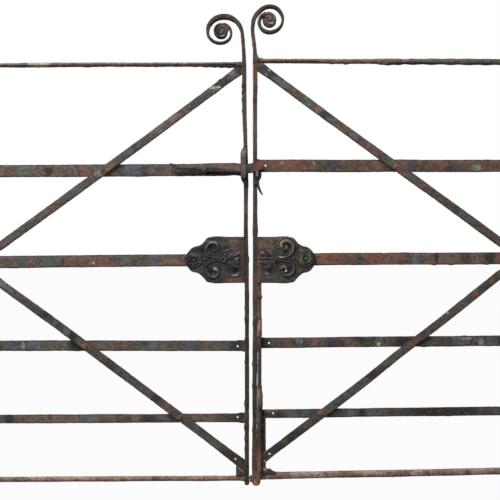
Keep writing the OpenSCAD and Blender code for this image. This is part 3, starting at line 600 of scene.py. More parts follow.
right_high = span("right_scroll")[1]
right_eye = np.array([right_high[0] - 42, right_high[2] - 40.5])
right_line = [
    (11, 14, 7.2), (11, 90, 7.3), (11, 140, 6.2), (11.1, 215, 5.9), (11, 272, 5.8),
    (11.3, 300, 6.1), (12.4, 328, 6.9), (12.5, 360, 6.9), (12.7, 470, 6.5), (12.5, 530, 6.8),
    (12.3, 610, 6.4), (12.5, 700, 6.2), (12.4, 900, 6), (12.4, 1040, 5.9), (12.8, 1085, 6.4),
    (12.4, 1125, 6.3), (12, 1165, 5.6), (11, 1186, 5.2), (7.8, 1212, 5.1), (5.6, 1231, 5.2)]
right_moss = bar([(1.4, y, 19) for y in (-9, -4, 0, 4, 8)], (1, 0, 0), [2, 3.4, 3.6, 3.4, 2],
                 [5, 8, 9, 8, 5], 1.8, 13, 0.6)
right_stile = scrolled_stile(
    "right_scrolled_stile", right_line, right_scroll, right_eye, -1,
    [19.5, 19, 18.5, 20.6, 21, 19.6, 17.5, 18.4, 19.4, 20.4, 20.6, 20.4], 2, [
    (20, 1160, 6, 3.5), (19, 1150, 8, 2.5), (8, 1196, 6, 1), (6, 1040, 5, 0.9), (17, 1252, 5, 1.5),
    (20, 560, 6, 1.2), (20, 690, 18, 2), (7, 440, 6, 1.4), (7, 330, 5, 2), (7, 270, 5, 1.6),
    (7, 150, 6, 1.4)],
    [knob(15.2, 13.5, 12.5, 12), right_moss], [
    (1, 22, 5, 8, (96, 132, 62), 1), (1, 13, 6, 5, (64, 76, 42), 1),
    (13, 975, 10, 100, (138, 122, 106), 0.8), (12, 470, 9, 26, (124, 114, 104), 0.8),
    (12, 428, 9, 30, (120, 108, 98), 0.7), (11, 320, 9, 40, (96, 88, 78), 0.6),
    (11, 212, 8, 34, (92, 84, 72), 0.6), (20, 1065, 5, 30, (120, 104, 92), 0.6),
    (9, 1195, 9, 30, (134, 97, 91), 0.8), (13, 1112, 10, 34, (172, 109, 75), 0.85),
    (13, 1132, 6, 9, (196, 146, 118), 0.8), (13, 1040, 9, 30, (121, 84, 71), 0.6),
    (12, 556, 9, 40, (150, 118, 100), 0.85), (13, 640, 8, 30, (84, 76, 68), 0.6),
    (12, 70, 10, 56, (136, 94, 72), 0.85), (13, 890, 9, 14, (70, 78, 74), 0.7),
    # Round the right eye, the near-black patch on its left is painted shade in the groove and the
    # pale patch under it is a painted highlight.
    (right_eye[0] - 17, right_eye[1] + 3, 8, 10, (38, 37, 36), 0.9),
    (right_eye[0] + 6, right_eye[1] - 12, 8, 4, (176, 168, 160), 0.7),
    (right_eye[0] + 2, right_eye[1] + 4, 9, 8, (116, 98, 86), 0.8),
    (15, 60, 14, 60, (152, 110, 90), 0.7), (15, 16, 14, 16, (186, 126, 102), 0.95),
    # The pale patch at (13, 34), just over the foot, is a painted highlight.
    (13, 34, 7, 10, (214, 170, 146), 0.8), (13, 1238, 4, 13, (28, 26, 26), 1),
    (12, 1206, 8, 12, (156, 92, 80), 0.85), (22, 1128, 6, 10, (46, 36, 30), 0.9)])

stile_paints = [(76, 69, 61), (94, 85, 76), (62, 64, 63)]
stile_rusts = [(90, 70, 58), (108, 89, 76), (136, 119, 107)]
left_stile_finish = weathered("left_stile_paint", stile_paints, stile_rusts, 0.4, 26, seed=1)
right_stile_finish = weathered("right_stile_paint", stile_paints, stile_rusts, 0.5, 24, seed=2)
hang(left_stile, left_stile_finish, "left_leaf", "stile_iron", "left_meeting_stile",
     "left_scroll")
hang(right_stile, right_stile_finish, "right_leaf", "stile_iron", "right_meeting_stile",
     "right_foot_knob", "right_scroll")

# ------------------------------------------------------------------------------------------------
# Rails
# The top and bottom rails are round rods and the four between them flat bars. Their ends are set
# through the stiles as tenons and hammered over. Some of them keep old fixing holes.
# ------------------------------------------------------------------------------------------------

slate = (94, 97, 94)
blue_slate = (96, 107, 117)
olive = (96, 89, 75)
earth = (113, 92, 77)
red_earth = (129, 85, 69)
coal_black = (38, 36, 34)
cream = (205, 198, 178)
round_rails = ("top", "bottom")
ways = {"left": -1, "right": 1}
leaf_face_u = 11.5
hinge_bar_w = 22
near_u, far_u = 50, 670


def drill(piece, holes):
    """Cuts round holes through a piece from front to back. Each is given as x, z and radius."""
    pins = []
    for x, z, radius in holes:
        circle = np.insert(outline_at(x, z, radius, bearings(18)), 1, 0, axis=1)
        points, quads, fans = closed_grid(np.stack([circle - [0, 40, 0], circle + [0, 40, 0]]))
        pins.append((points, quads, fans, np.ones(len(points))))
    cutter = make_piece("drill_pins", pins)
    cut = piece.modifiers.new("holes", "BOOLEAN")
    cut.operation = "DIFFERENCE"
    cut.solver = "EXACT"
    cut.use_self = True
    cut.object = cutter
    graph = bpy.context.evaluated_depsgraph_get()
    solid = piece.data
    piece.data = bpy.data.meshes.new_from_object(piece.evaluated_get(graph))
    piece.modifiers.clear()
    bpy.data.meshes.remove(solid)
    bpy.data.meshes.remove(cutter.data)


def rail(side, name, near, far, seed, material, lumps=(), stains_and_light=(), holes=(), plump=0.9):
    """A rail whose middle line runs from stile to stile. Its height is the solid's, plus a share
    of near and far, which are its offsets close to the middle of the gateway and far from it,
    plus noise. Its half height is the solid's plus plump for the paint and the scale, and the
    section swells by a falling exponential next to each stile."""
    low, high = span(f"{side}_{name}_rail")
    way = ways[side]
    inner, outer = sorted((abs(low[0]), abs(high[0])))
    middle, half = (low[2] + high[2]) / 2, (high[2] - low[2]) / 2
    u = np.arange(inner + 6, outer - 9, 2.4)
    flat = np.stack([way * u, 0 * u, 0 * u + middle], axis=1)
    drift = near + (far - near) * (u - near_u) / (far_u - near_u) + 0.5 * noise(flat, 130, seed)
    plump = np.interp(u, (near_u, far_u), plump) if isinstance(plump, tuple) else plump
    line = flat + np.stack([0 * u, 0 * u, drift], axis=1)
    grow = (2 * np.exp(-np.maximum(u - inner - leaf_face_u, 0) / 7)
            + 1.2 * np.exp(-np.maximum(outer - hinge_bar_w - u, 0) / 7))
    is_round = name in round_rails
    depth = half if is_round else (high[1] - low[1]) / 2
    thick = depth + plump - 0.2 if is_round else depth - 0.2
    corner = half - 0.5 if is_round else 1.8
    tenon_half = (4, 4) if is_round else (0.56 * half, 3.5)
    parts = [bar(line, (0, 0, 1), half + grow + plump - 0.3, thick + 0.3 * grow, corner, seed, 1,
                 lumps)]
    for start_u, end_u, drop in ((inner + 1.2, inner + 9, drift[0]),
                                 (outer - 9, outer + 0.7, drift[-1])):
        ends = np.linspace(start_u, end_u, 5)
        tenon = np.stack([way * ends, 0 * ends, 0 * ends + middle + drop], axis=1)
        parts.append(bar(tenon, (0, 0, 1), tenon_half[0], tenon_half[1], 1.4, seed + 3, 0.6))
    piece = make_piece(f"{side}_{name}_bar", parts, [
        (x, middle + dz, half_x, half_z, colour, strength)
        for x, dz, half_x, half_z, colour, strength in stains_and_light], seed)
    if holes:
        drill(piece, [(x, middle + dz, radius) for x, dz, radius in holes])
    hang(piece, material, side + "_leaf", "rail_iron", f"{side}_{name}_rail")


rail_paints = [(93, 90, 84), (100, 89, 80), (81, 90, 95)]
rail_rusts = [(105, 79, 63), (121, 90, 74), (137, 114, 98)]
grey_rail_paint = weathered("grey_rail_paint", rail_paints, rail_rusts, 0.46, 30, seed=3)
brown_rail_paint = weathered(
    "brown_rail_paint", [(102, 81, 69), (94, 85, 71), (86, 83, 77)],
    [(114, 79, 65), (129, 87, 75), (135, 109, 93)], 0.55, 26, seed=4, specks=0.7)
dark_rail_paint = weathered(
    "dark_rail_paint", [(66, 63, 59), (80, 75, 63), (78, 87, 96)],
    [(91, 72, 62), (105, 82, 70), (126, 109, 95)], 0.4, 28, seed=5)
round_rail_rust = weathered(
    "round_rail_rust", [(113, 101, 92), (102, 91, 83), (90, 87, 85)],
    [(129, 98, 85), (144, 113, 101), (164, 145, 129)], 0.52, 30, seed=6, specks=0.7)
worn_rod_rust = weathered(
    "worn_rod_rust", [(150, 133, 121), (134, 113, 101), (163, 151, 137)],
    [(153, 116, 99), (172, 137, 120), (192, 172, 157)], 0.55, 26, seed=7, specks=0.9)

rail("left", "top", 2.8, 0.2, 21, round_rail_rust, [
    (-38, 1129, 11, 4.4), (-58, 1129, 9, 4.8), (-78, 1129, 9, 4), (-98, 1129, 8, 4.2),
    (-120, 1130, 9, 2.6), (-150, 1131, 7, 1.6), (-255, 1131, 7, 1), (-440, 1131, 9, 1.5)], [
    (-75, 0, 52, 12, (64, 62, 57), 0.9), (-158, 0, 24, 12, (135, 101, 90), 0.7),
    (-270, 0, 70, 12, (101, 92, 80), 0.6), (-426, 0, 42, 12, (132, 101, 89), 0.7),
    (-613, 0, 16, 12, (82, 84, 91), 0.8), (-645, 0, 12, 12, (139, 118, 111), 0.8),
    (-568, 2, 30, 6, cream, 0.7)], plump=-0.4)
rail("left", "second", 2.2, -1.7, 22, grey_rail_paint, [
    (-178, 868, 7, 1), (-300, 838, 8, 0.8), (-505, 838, 6, 0.8), (-44, 842, 15, -2.4)], [
    # The near-black bands along the lower edge at x -100 and -172 are a painted shadow under the
    # latch lever and its tail.
    (-90, 3, 60, 22, (120, 99, 87), 0.8), (-100, -10, 84, 10, (38, 35, 32), 1),
    (-172, -9, 30, 9, (44, 41, 36), 0.95), (-180, 8, 16, 9, (104, 90, 80), 0.8),
    (-316, 0, 24, 24, (92, 98, 112), 0.8), (-285, 0, 12, 20, (63, 61, 60), 0.8),
    (-240, 0, 30, 20, (102, 93, 90), 0.7), (-352, 2, 14, 14, (72, 80, 98), 0.8),
    (-444, -2, 18, 13, (116, 88, 74), 0.7), (-508, 2, 20, 12, red_earth, 0.4),
    (-547, -2, 10, 12, (43, 42, 42), 0.8), (-600, 0, 28, 20, (110, 110, 101), 0.8),
    (-648, 2, 9, 13, red_earth, 0.5), (-664, 12, 2.5, 2.5, (235, 225, 215), 1)])
rail("left", "middle", 7, 1.7, 23, grey_rail_paint, [
    (-236, 588, 4, 1.8), (-455, 588, 10, 0.8), (-640, 588, 12, 0.8)], [
    (-214, -3, 40, 14, (124, 91, 75), 0.85), (-265, 0, 14, 22, blue_slate, 0.85),
    (-305, 0, 26, 20, (109, 96, 83), 0.7), (-345, 0, 20, 20, slate, 0.8),
    (-414, -2, 50, 12, (128, 87, 71), 0.85), (-492, 2, 18, 16, earth, 0.7),
    (-508, -2, 4, 15, coal_black, 0.9), (-522, -13, 14, 4, coal_black, 0.8),
    (-545, 0, 30, 20, (90, 99, 94), 0.85), (-592, 0, 12, 16, (130, 90, 76), 0.6),
    (-618, 0, 14, 20, slate, 0.8), (-425, -2, 2.5, 2.5, (240, 230, 220), 1)])
rail("left", "fourth", 0.8, 0.8, 24, grey_rail_paint, [
    (-30, 394, 6, 1.5), (-470, 363, 9, 1.2), (-470, 393, 9, 1)], [
    (-44, 0, 26, 22, (44, 44, 46), 0.9), (-66, 0, 13, 18, (101, 104, 120), 0.85),
    (-116, 0, 34, 20, (106, 96, 78), 0.8), (-160, 0, 16, 22, (87, 98, 105), 0.85),
    (-205, 0, 24, 20, (103, 91, 74), 0.7), (-258, 0, 14, 22, (98, 106, 119), 0.85),
    (-300, 0, 22, 20, (91, 82, 74), 0.7), (-380, 0, 30, 20, (100, 96, 81), 0.6),
    (-470, 0, 17, 24, coal_black, 0.95), (-504, 0, 10, 18, (88, 105, 107), 0.8),
    (-550, 0, 24, 20, slate, 0.7), (-586, 0, 18, 16, (103, 107, 122), 0.85),
    (-646, 0, 18, 18, blue_slate, 0.8), (-615, 1, 5, 9, (163, 167, 163), 0.8)],
    [(-35, -0.5, 2.4)])
rail("left", "fifth", -2.6, -5.6, 25, grey_rail_paint, [(-26, 200, 7, 2.6), (-24, 172, 7, 1.6)], [
    (-40, 0, 36, 18, (63, 59, 45), 0.9), (-80, 0, 22, 16, (84, 79, 62), 0.85),
    (-130, 0, 32, 16, (120, 102, 92), 0.85), (-272, 0, 22, 16, (65, 61, 51), 0.9),
    (-238, 0, 16, 14, (100, 102, 108), 0.85), (-308, 0, 15, 16, (129, 105, 89), 0.7),
    (-380, 0, 20, 16, (129, 103, 89), 0.7), (-425, 0, 36, 16, (114, 114, 103), 0.8),
    (-466, 2, 9, 12, (116, 123, 142), 0.9), (-515, 0, 14, 12, (137, 101, 85), 0.7),
    (-565, 0, 40, 18, (118, 107, 92), 0.8), (-596, 0, 10, 10, (130, 94, 78), 0.7),
    (-654, 0, 13, 18, (45, 43, 43), 0.9)], [(-35, 0, 2.4)])
rail("left", "bottom", -2, -5.2, 26, worn_rod_rust, [], [
    (-40, 0, 26, 12, (133, 96, 79), 0.7), (-150, 0, 60, 12, (163, 124, 105), 0.5),
    (-300, 0, 30, 12, (126, 109, 92), 0.6), (-470, 0, 40, 12, (185, 147, 133), 0.5),
    (-640, 0, 26, 12, (136, 127, 104), 0.7)], plump=0)

rail("right", "top", 0.6, -1.8, 31, round_rail_rust, [
    (27, 1157, 7, 2.5), (222, 1142, 10, 1.4), (258, 1142, 7, 2.8), (240, 1142, 7, 1.2),
    (352, 1142, 10, 2.2), (372, 1142, 12, 3.8), (400, 1142, 14, 3), (440, 1142, 16, 2.2),
    (490, 1142, 18, 2), (540, 1142, 16, 2), (590, 1142, 16, 1.4), (640, 1142, 12, 1.6)], [
    (120, 0, 110, 12, (126, 94, 80), 0.8), (300, 0, 60, 12, (122, 88, 79), 0.8),
    (400, 0, 30, 12, (135, 105, 98), 0.7), (500, 0, 70, 12, (105, 96, 88), 0.7),
    # The near-black band along the underside at x 425 is painted shade.
    (425, -7, 70, 4, coal_black, 0.8), (620, 0, 60, 12, (90, 81, 72), 0.8)], plump=(-0.6, 1.2))
rail("right", "second", 1.9, 1.6, 32, brown_rail_paint, [(640, 880, 10, 0.8)], [
    (44, 0, 12, 20, (100, 84, 66), 0.8), (74, 0, 18, 24, (118, 80, 69), 0.8),
    (130, 0, 52, 24, (126, 81, 72), 0.85), (192, 0, 16, 22, (75, 75, 56), 0.85),
    (222, 3, 22, 18, (66, 67, 67), 0.85), (280, 0, 30, 22, (91, 79, 65), 0.8),
    (350, 0, 20, 20, olive, 0.6), (438, 2, 14, 14, (64, 69, 78), 0.85),
    (500, 0, 34, 20, (121, 88, 76), 0.7), (540, -4, 9, 12, (70, 67, 67), 0.8),
    (600, 0, 26, 18, (119, 93, 83), 0.7), (612, -4, 13, 6, (159, 167, 153), 0.75),
    (85, 9, 4, 4, (163, 153, 104), 0.8), (146, -5, 3, 3, (164, 155, 107), 0.9),
    (171, 9, 3, 3, cream, 0.9)],
    [(40.7, 3, 2.5)])
rail("right", "middle", -2.6, 0.6, 33, brown_rail_paint, [
    (497, 599, 5, 2), (543, 599, 6, 1.6), (640, 600, 6, 1.4), (420, 631, 8, 1)], [
    (200, 0, 40, 22, (136, 88, 63), 0.9), (262, 0, 20, 20, (107, 86, 65), 0.7),
    (288, 0, 11, 20, (86, 83, 77), 0.8), (330, 0, 24, 20, red_earth, 0.8),
    (380, 0, 40, 20, (126, 94, 80), 0.7), (448, 2, 13, 18, (101, 115, 126), 0.9),
    (478, 0, 12, 20, (119, 100, 88), 0.7), (503, 2, 5, 20, coal_black, 0.9),
    (540, 0, 26, 20, (107, 99, 90), 0.8), (582, 4, 12, 14, (59, 57, 54), 0.85),
    (612, 0, 18, 20, (129, 101, 85), 0.8), (648, 0, 13, 20, (57, 54, 57), 0.9)])
rail("right", "fourth", -2.1, 3.3, 34, dark_rail_paint, [
    (28, 402, 6, 1.5), (580, 404, 7, 1.4), (470, 376, 9, 1.2)], [
    (36, 0, 18, 20, (40, 42, 38), 0.9), (90, 0, 26, 18, (109, 85, 69), 0.85),
    (132, 3, 9, 14, (128, 137, 154), 0.9), (178, 0, 26, 18, (122, 94, 78), 0.85),
    (218, 0, 12, 18, (60, 64, 69), 0.85), (272, 0, 20, 16, (122, 98, 92), 0.85),
    (325, 0, 22, 18, (87, 82, 68), 0.8), (350, 0, 13, 18, (109, 109, 91), 0.8),
    (347, -5, 3, 4, (230, 232, 225), 1), (410, 0, 26, 20, (40, 40, 42), 0.9),
    (500, 0, 26, 18, (96, 82, 68), 0.8), (568, 0, 24, 16, (108, 99, 108), 0.85),
    (580, 10, 22, 3, (192, 194, 192), 0.7), (622, -1, 8, 12, (162, 176, 162), 0.75),
    (648, 0, 14, 16, (96, 101, 115), 0.85)], [(50, -2, 2.2)])
rail("right", "fifth", -2.1, 5, 35, dark_rail_paint, [(150, 186, 9, 0.8), (535, 192, 7, 1.2)], [
    (62, 0, 26, 16, (68, 61, 47), 0.9), (48, 8, 20, 4, (163, 139, 116), 0.6),
    (112, 0, 20, 14, (95, 100, 100), 0.85), (142, 0, 12, 14, (88, 100, 110), 0.85),
    (225, 0, 24, 14, (75, 67, 65), 0.85), (270, 0, 14, 14, blue_slate, 0.85),
    (300, 0, 11, 16, coal_black, 0.9), (330, 2, 18, 14, (93, 100, 108), 0.85),
    (360, 4, 18, 14, slate, 0.8), (408, 4, 20, 14, (83, 93, 100), 0.85),
    (520, 6, 90, 16, (44, 40, 38), 0.9), (660, 8, 14, 10, (92, 89, 92), 0.7)],
    [(61, 0, 2.2)])
rail("right", "bottom", -6.6, 6.2, 36, worn_rod_rust, [(72, 33, 9, 1.6)], [
    (72, 0, 36, 14, (134, 94, 84), 0.85), (180, 0, 40, 12, (187, 175, 153), 0.6),
    (260, 0, 30, 12, (132, 96, 84), 0.8), (310, 2, 20, 10, (166, 157, 142), 0.6),
    (400, 2, 16, 12, (142, 105, 91), 0.8), (450, 2, 20, 10, (203, 179, 163), 0.7),
    (520, 4, 30, 12, (135, 105, 91), 0.8), (620, 5, 24, 10, (192, 177, 158), 0.7)], plump=2)

# ------------------------------------------------------------------------------------------------
# Braces
# Two flat bars on each leaf lie in front of the rails, from the hinge stile to the two corners
# next to the meeting stile, where they were drawn out wider. Rivets hold them to the rails.
# ------------------------------------------------------------------------------------------------


def plane_across(path):
    """At each point of a line, the direction square to it in the plane of the gates."""
    run = unit(np.gradient(path[:, :3], axis=0))
    return np.stack([-run[:, 2], 0 * run[:, 1], run[:, 0]], axis=1)


def brace(side, name, end, bow, seed, keep, lumps=(), stains_and_light=(), extra=(), hole=None):
    """A brace: its middle line is straight from the hinge stile to the end next to the meeting
    stile, plus a bow in z that is given at some distances from the middle of the gateway. Its
    half width grows from 11.4 to 14.2 mm over the last 60 mm. What passes the keep box, given
    as lowest and highest u and z, is pressed back to it. The extra bars are part of the piece."""
    way = ways[side]
    apex = np.array([apex_u, middle_z[side]])
    reach = np.linalg.norm(apex - end)
    share = np.linspace(0, 1, int(reach / 2.2))[:, None]
    line = apex + (np.array(end) - apex) * share
    at, shift = np.array(bow, float).T
    line[:, 1] += np.interp(line[:, 0], at, shift)
    low, high = span(f"{side}_upper_brace")
    path = np.stack([way * line[:, 0], 0 * line[:, 0] + (low[1] + high[1]) / 2, line[:, 1]], axis=1)
    half = (11.4 + 2.8 * np.clip(1 - reach * (1 - share[:, 0]) / 60, 0, 1)
            + 0.5 * noise(path, 70, seed))
    skin, quads, fans, edge = bar(path, plane_across(path), half, (high[1] - low[1]) / 2 - 0.2,
                                  1.6, seed, 1, lumps)
    u = np.clip(way * skin[:, 0], keep[0], keep[1])
    skin = np.stack([way * u, skin[:, 1], np.clip(skin[:, 2], keep[2], keep[3])], axis=1)
    piece = make_piece(f"{side}_{name}_brace_bar", [(skin, quads, fans, edge), *extra],
                       stains_and_light, seed)
    if hole:
        drill(piece, [hole])
    hang(piece, brace_paint, side + "_leaf", "brace_iron", f"{side}_{name}_brace")


brace_paint = weathered(
    "brace_paint", [(81, 81, 76), (90, 83, 73), (67, 73, 73)],
    [(98, 76, 64), (111, 87, 75), (127, 108, 96)], 0.42, 30, seed=8)
green_black = (42, 47, 44)
apex_u = 742
post_face_u = 729
middle_z = {side: np.mean(span(f"{side}_middle_rail"), axis=0)[2] for side in ways}
under_top = {side: span(f"{side}_top_rail")[0][2] - 0.3 for side in ways}

brace("left", "upper", (17.5, 1131), [
    (0, 1), (54, 0.6), (135, -1.1), (297, -3.5), (670, -3.8), (apex_u, 0)],
    41, (12, post_face_u, middle_z["left"] + 0.3, under_top["left"]),
    [(-85, 1097, 4, 2), (-90, 1062, 8, 0.8)], [
    # The near-black patch at the top end, (-26, 1124), is painted shade in the corner under the top
    # rail.
    (-26, 1124, 18, 14, (38, 41, 39), 0.95), (-53, 1118, 12, 9, (117, 128, 136), 0.7),
    (-88, 1092, 26, 18, green_black, 0.9), (-104, 1076, 7, 5, (190, 196, 196), 0.9),
    (-86, 1077, 5, 2.5, (196, 200, 198), 0.9), (-150, 1045, 36, 22, (81, 87, 82), 0.85),
    (-204, 1002, 22, 16, (123, 114, 108), 0.85), (-222, 974, 18, 8, (113, 73, 56), 0.9),
    (-252, 962, 30, 22, (125, 116, 112), 0.7), (-262, 946, 18, 7, (112, 75, 60), 0.9),
    (-310, 925, 26, 22, (82, 88, 82), 0.8), (-371, 872, 20, 12, (116, 92, 73), 0.85),
    (-412, 846, 12, 9, (147, 152, 147), 0.7), (-470, 805, 30, 24, slate, 0.6),
    (-560, 738, 26, 22, earth, 0.6), (-660, 662, 24, 20, (106, 83, 70), 0.7)])
left_foot_line = [(-27.4, -7.4, z) for z in (30.2, 34, 40, 46, 52, 58, 64, 70)]
brace("left", "lower", (9.4, 51), [
    (0, 0), (54, 0), (135, 0.8), (351, -0.3), (513, -1), (670, -5.9), (apex_u, 0)],
    42, (8, post_face_u, 40, middle_z["left"] - 0.3), (), [
    (-657, 533, 16, 12, (92, 101, 109), 0.85), (-672, 550, 14, 7, (137, 116, 102), 0.8),
    (-625, 508, 18, 14, (96, 87, 75), 0.8), (-600, 492, 16, 14, (80, 88, 88), 0.7),
    (-556, 455, 22, 16, (48, 49, 54), 0.85), (-495, 421, 14, 12, (92, 101, 113), 0.9),
    (-478, 404, 12, 18, coal_black, 0.9), (-458, 396, 12, 10, (88, 86, 71), 0.8),
    (-420, 362, 20, 14, (91, 74, 63), 0.8), (-380, 330, 30, 20, (60, 60, 58), 0.85),
    (-293, 265, 16, 12, (90, 97, 104), 0.85), (-269, 250, 12, 10, (114, 89, 75), 0.85),
    (-252, 240, 14, 12, (46, 46, 42), 0.9), (-230, 218, 13, 10, (125, 93, 76), 0.85),
    (-214, 208, 9, 9, slate, 0.8), (-151, 162, 14, 11, (82, 95, 112), 0.9),
    (-130, 148, 11, 9, (73, 70, 74), 0.8), (-94, 118, 20, 14, (97, 87, 72), 0.85),
    (-60, 90, 22, 16, (50, 46, 38), 0.9), (-28, 56, 20, 22, (62, 54, 46), 0.9),
    (-30, 36, 10, 8, (94, 73, 63), 0.7)],
    [bar(left_foot_line, (1, 0, 0), 11.8, 3.7, 1.6, 43)], (-40.6, 74.4, 2.4))

brace("right", "upper", (13, 1142), [
    (0, -1), (68, -1.5), (216, -3.6), (324, -3.8), (459, -3.4), (567, -3.6), (670, -5),
    (apex_u, 0)],
    44, (12, post_face_u, middle_z["right"] + 0.3, under_top["right"]), (), [
    (48, 1120, 34, 22, (51, 57, 57), 0.92), (50, 1124, 3, 3, (196, 200, 198), 0.9),
    (42, 1111, 3, 2.5, (190, 194, 190), 0.8), (86, 1088, 26, 20, (87, 90, 84), 0.85),
    (126, 1056, 24, 18, (114, 91, 79), 0.85), (160, 1034, 16, 14, (88, 101, 95), 0.85),
    (184, 1016, 14, 12, (129, 101, 86), 0.8), (205, 1004, 18, 10, (48, 54, 51), 0.9),
    (222, 988, 16, 12, (84, 93, 93), 0.8), (252, 966, 22, 14, (124, 90, 70), 0.85),
    (279, 948, 14, 12, (92, 104, 109), 0.9), (320, 918, 32, 20, (116, 85, 74), 0.8),
    (378, 877, 13, 12, (95, 103, 96), 0.85), (410, 856, 26, 18, (127, 96, 87), 0.8),
    (500, 792, 34, 22, (95, 82, 73), 0.7), (580, 732, 26, 20, slate, 0.6),
    (655, 676, 24, 20, (99, 79, 70), 0.7)])
strap_line = [(38, -9, z) for z in range(34, 190, 4)]
toe_line = [(34, -6, 41), (42, -5.6, 40.6), (50, -5.2, 39.4), (58, -4.8, 37.6), (67, -4.4, 35)]
brace("right", "lower", (13, 62), [
    (0, -2), (68, -2.6), (270, -3.7), (324, -2.8), (392, 1.4), (513, 2.3), (621, 6.8), (670, 9.1),
    (apex_u, 0)],
    45, (36, post_face_u, 40, middle_z["right"] - 0.3), (), [
    (654, 560, 16, 14, (108, 77, 65), 0.8), (605, 522, 13, 12, (127, 87, 66), 0.85),
    (580, 506, 12, 11, (86, 93, 92), 0.8), (560, 488, 14, 12, (107, 87, 70), 0.8),
    (534, 468, 12, 10, (90, 102, 107), 0.85), (531, 469, 3, 3, (214, 218, 214), 0.9),
    (490, 440, 20, 16, (102, 86, 72), 0.7), (452, 412, 20, 14, (82, 70, 62), 0.8),
    (424, 384, 16, 12, (128, 96, 84), 0.85), (402, 367, 12, 10, (92, 102, 106), 0.85),
    (370, 340, 20, 14, (101, 85, 69), 0.7), (320, 306, 22, 14, (42, 42, 42), 0.9),
    (280, 268, 13, 11, (82, 91, 101), 0.9), (252, 252, 8, 7, (123, 112, 104), 0.8),
    (224, 226, 14, 12, (92, 99, 104), 0.85), (194, 201, 14, 10, (128, 94, 76), 0.85),
    (166, 182, 22, 14, (93, 82, 75), 0.8), (110, 140, 34, 20, (61, 56, 51), 0.85),
    (64, 106, 34, 20, (47, 45, 40), 0.9), (38, 60, 8, 40, (97, 71, 62), 0.7),
    (52, 40, 22, 8, (62, 66, 52), 0.9), (37, 120, 5, 80, (44, 38, 35), 0.95)],
    [bar(strap_line, (1, 0, 0), 3.4, 3.7, 1.4, 46),
     bar(toe_line, (0, 1, 0), 7.5, [7.6, 7, 5.8, 4.2, 2.6], 1.6, 47)], (51.6, 88, 2.3))

# ------------------------------------------------------------------------------------------------
# Rivets of the braces
# Hand-set rivets, their heads hammered into low uneven domes in front and behind.
# ------------------------------------------------------------------------------------------------


def rivet_head(x, z, face_y, radius, height, way, seed):
    """A domed head on the face at that y: the height is a root of 1 - (distance / radius)
    squared, the outline a circle with noise. With way 1 it is turned to the back."""
    turn = bearings(24)
    wave = radius * (1 + 0.08 * np.sin(2 * turn + seed) + 0.05 * np.sin(3 * turn + 2 * seed))

    def dome(u, v):
        away = np.hypot(u - x, v - z) / radius
        return (height - 0.8) * np.sqrt(np.clip(1 - away ** 2, 0, 1))

    points, quads, fans, edge = plaque(
        np.array([x, z]), outline_at(x, z, wave, turn), -0.8, 1, dome, seed, 8, 26, 0.8, 0.4)
    points = points * [1, -way, 1] + [0, face_y, 0]
    return points, quads, fans, edge


rivet_rust = weathered(
    "rivet_rust", [(113, 86, 70), (98, 81, 70), (87, 83, 75)],
    [(133, 92, 70), (148, 104, 80), (105, 79, 65)], 0.6, 12, seed=9)
hinge_rivet_u = 718
for side, way in ways.items():
    brace_front = span(f"{side}_upper_brace")[0][1] + 0.4
    rail_back = span(f"{side}_middle_rail")[1][1] - 0.3
    spots = {"left": [(-384.4, 853.5, 7), (-446.5, 378.6, 8.5), (-190, 186.5, 7.5)],
             "right": [(391, 863.5, 7), (448, 390, 7), (190, 197, 7)]}[side]
    spots += [(way * hinge_rivet_u, middle_z[side] + up, 5.6) for up in (9.5, -9.5)]
    heads = []
    for index, (x, z, radius) in enumerate(spots):
        heads.append(rivet_head(x, z, brace_front, radius, 0.42 * radius, -1, index))
        heads.append(rivet_head(x, z, rail_back, 0.9 * radius, 0.36 * radius, 1, index))
    if side == "right":
        heads.append(bar([(52, -2, z) for z in (42, 43.5, 45)], (1, 0, 0), [5.2, 4.8, 3],
                         [5.2, 4.8, 3], 2.6, 48))
    piece = make_piece(f"{side}_rivet_heads", heads)
    hang(piece, rivet_rust, side + "_leaf", "rivet_iron", f"{side}_brace_rivets")

# ------------------------------------------------------------------------------------------------
# Covers
# A hollow iron casting sits over the middle rail on each leaf: two volutes that rise from a
# double stem, a rosette at the tip and a palmette next to the stile. A plate is riveted behind.
# ------------------------------------------------------------------------------------------------


def moulding(u, w, *marks):
    """Height of a rounded moulding through marks given as u, w, half width and height: at each
    point the largest value of height times the root of 1 - (distance / half width) squared."""
    path = smooth_line([(at_u, at_w, 0, half, height) for at_u, at_w, half, height in marks], 0.9)
    best = np.zeros(u.shape)
    for at_u, at_w, _, half, height in path:
        away = ((u - at_u) ** 2 + (w - at_w) ** 2) / half ** 2
        best = np.maximum(best, height * np.sqrt(np.clip(1 - away, 0, 1)))
    return best


def bump(u, w, at_u, at_w, radius, height):
    """A bell-shaped rise or hollow around one point."""
    return height * np.exp(-((u - at_u) ** 2 + (w - at_w) ** 2) / radius ** 2)


def rosette(u, w, at_u, at_w, radius):
    """A ring, nine petals inside it whose height is a cosine of the bearing, and a low button."""
    turn = np.arctan2(w - at_w, u - at_u)
    away = np.hypot(u - at_u, w - at_w) / radius
    ring = 3 * np.sqrt(np.clip(1 - ((away - 1) / 0.13) ** 2, 0, 1))
    petal = np.abs(np.cos(4.5 * turn)) ** 0.8
    petals = 5 * petal * np.sqrt(np.clip(1 - ((away - 0.66) / 0.2) ** 2, 0, 1))
    button = 2 * np.sqrt(np.clip(1 - (away / 0.22) ** 2, 0, 1))
    return np.maximum(ring, np.maximum(petals, button))


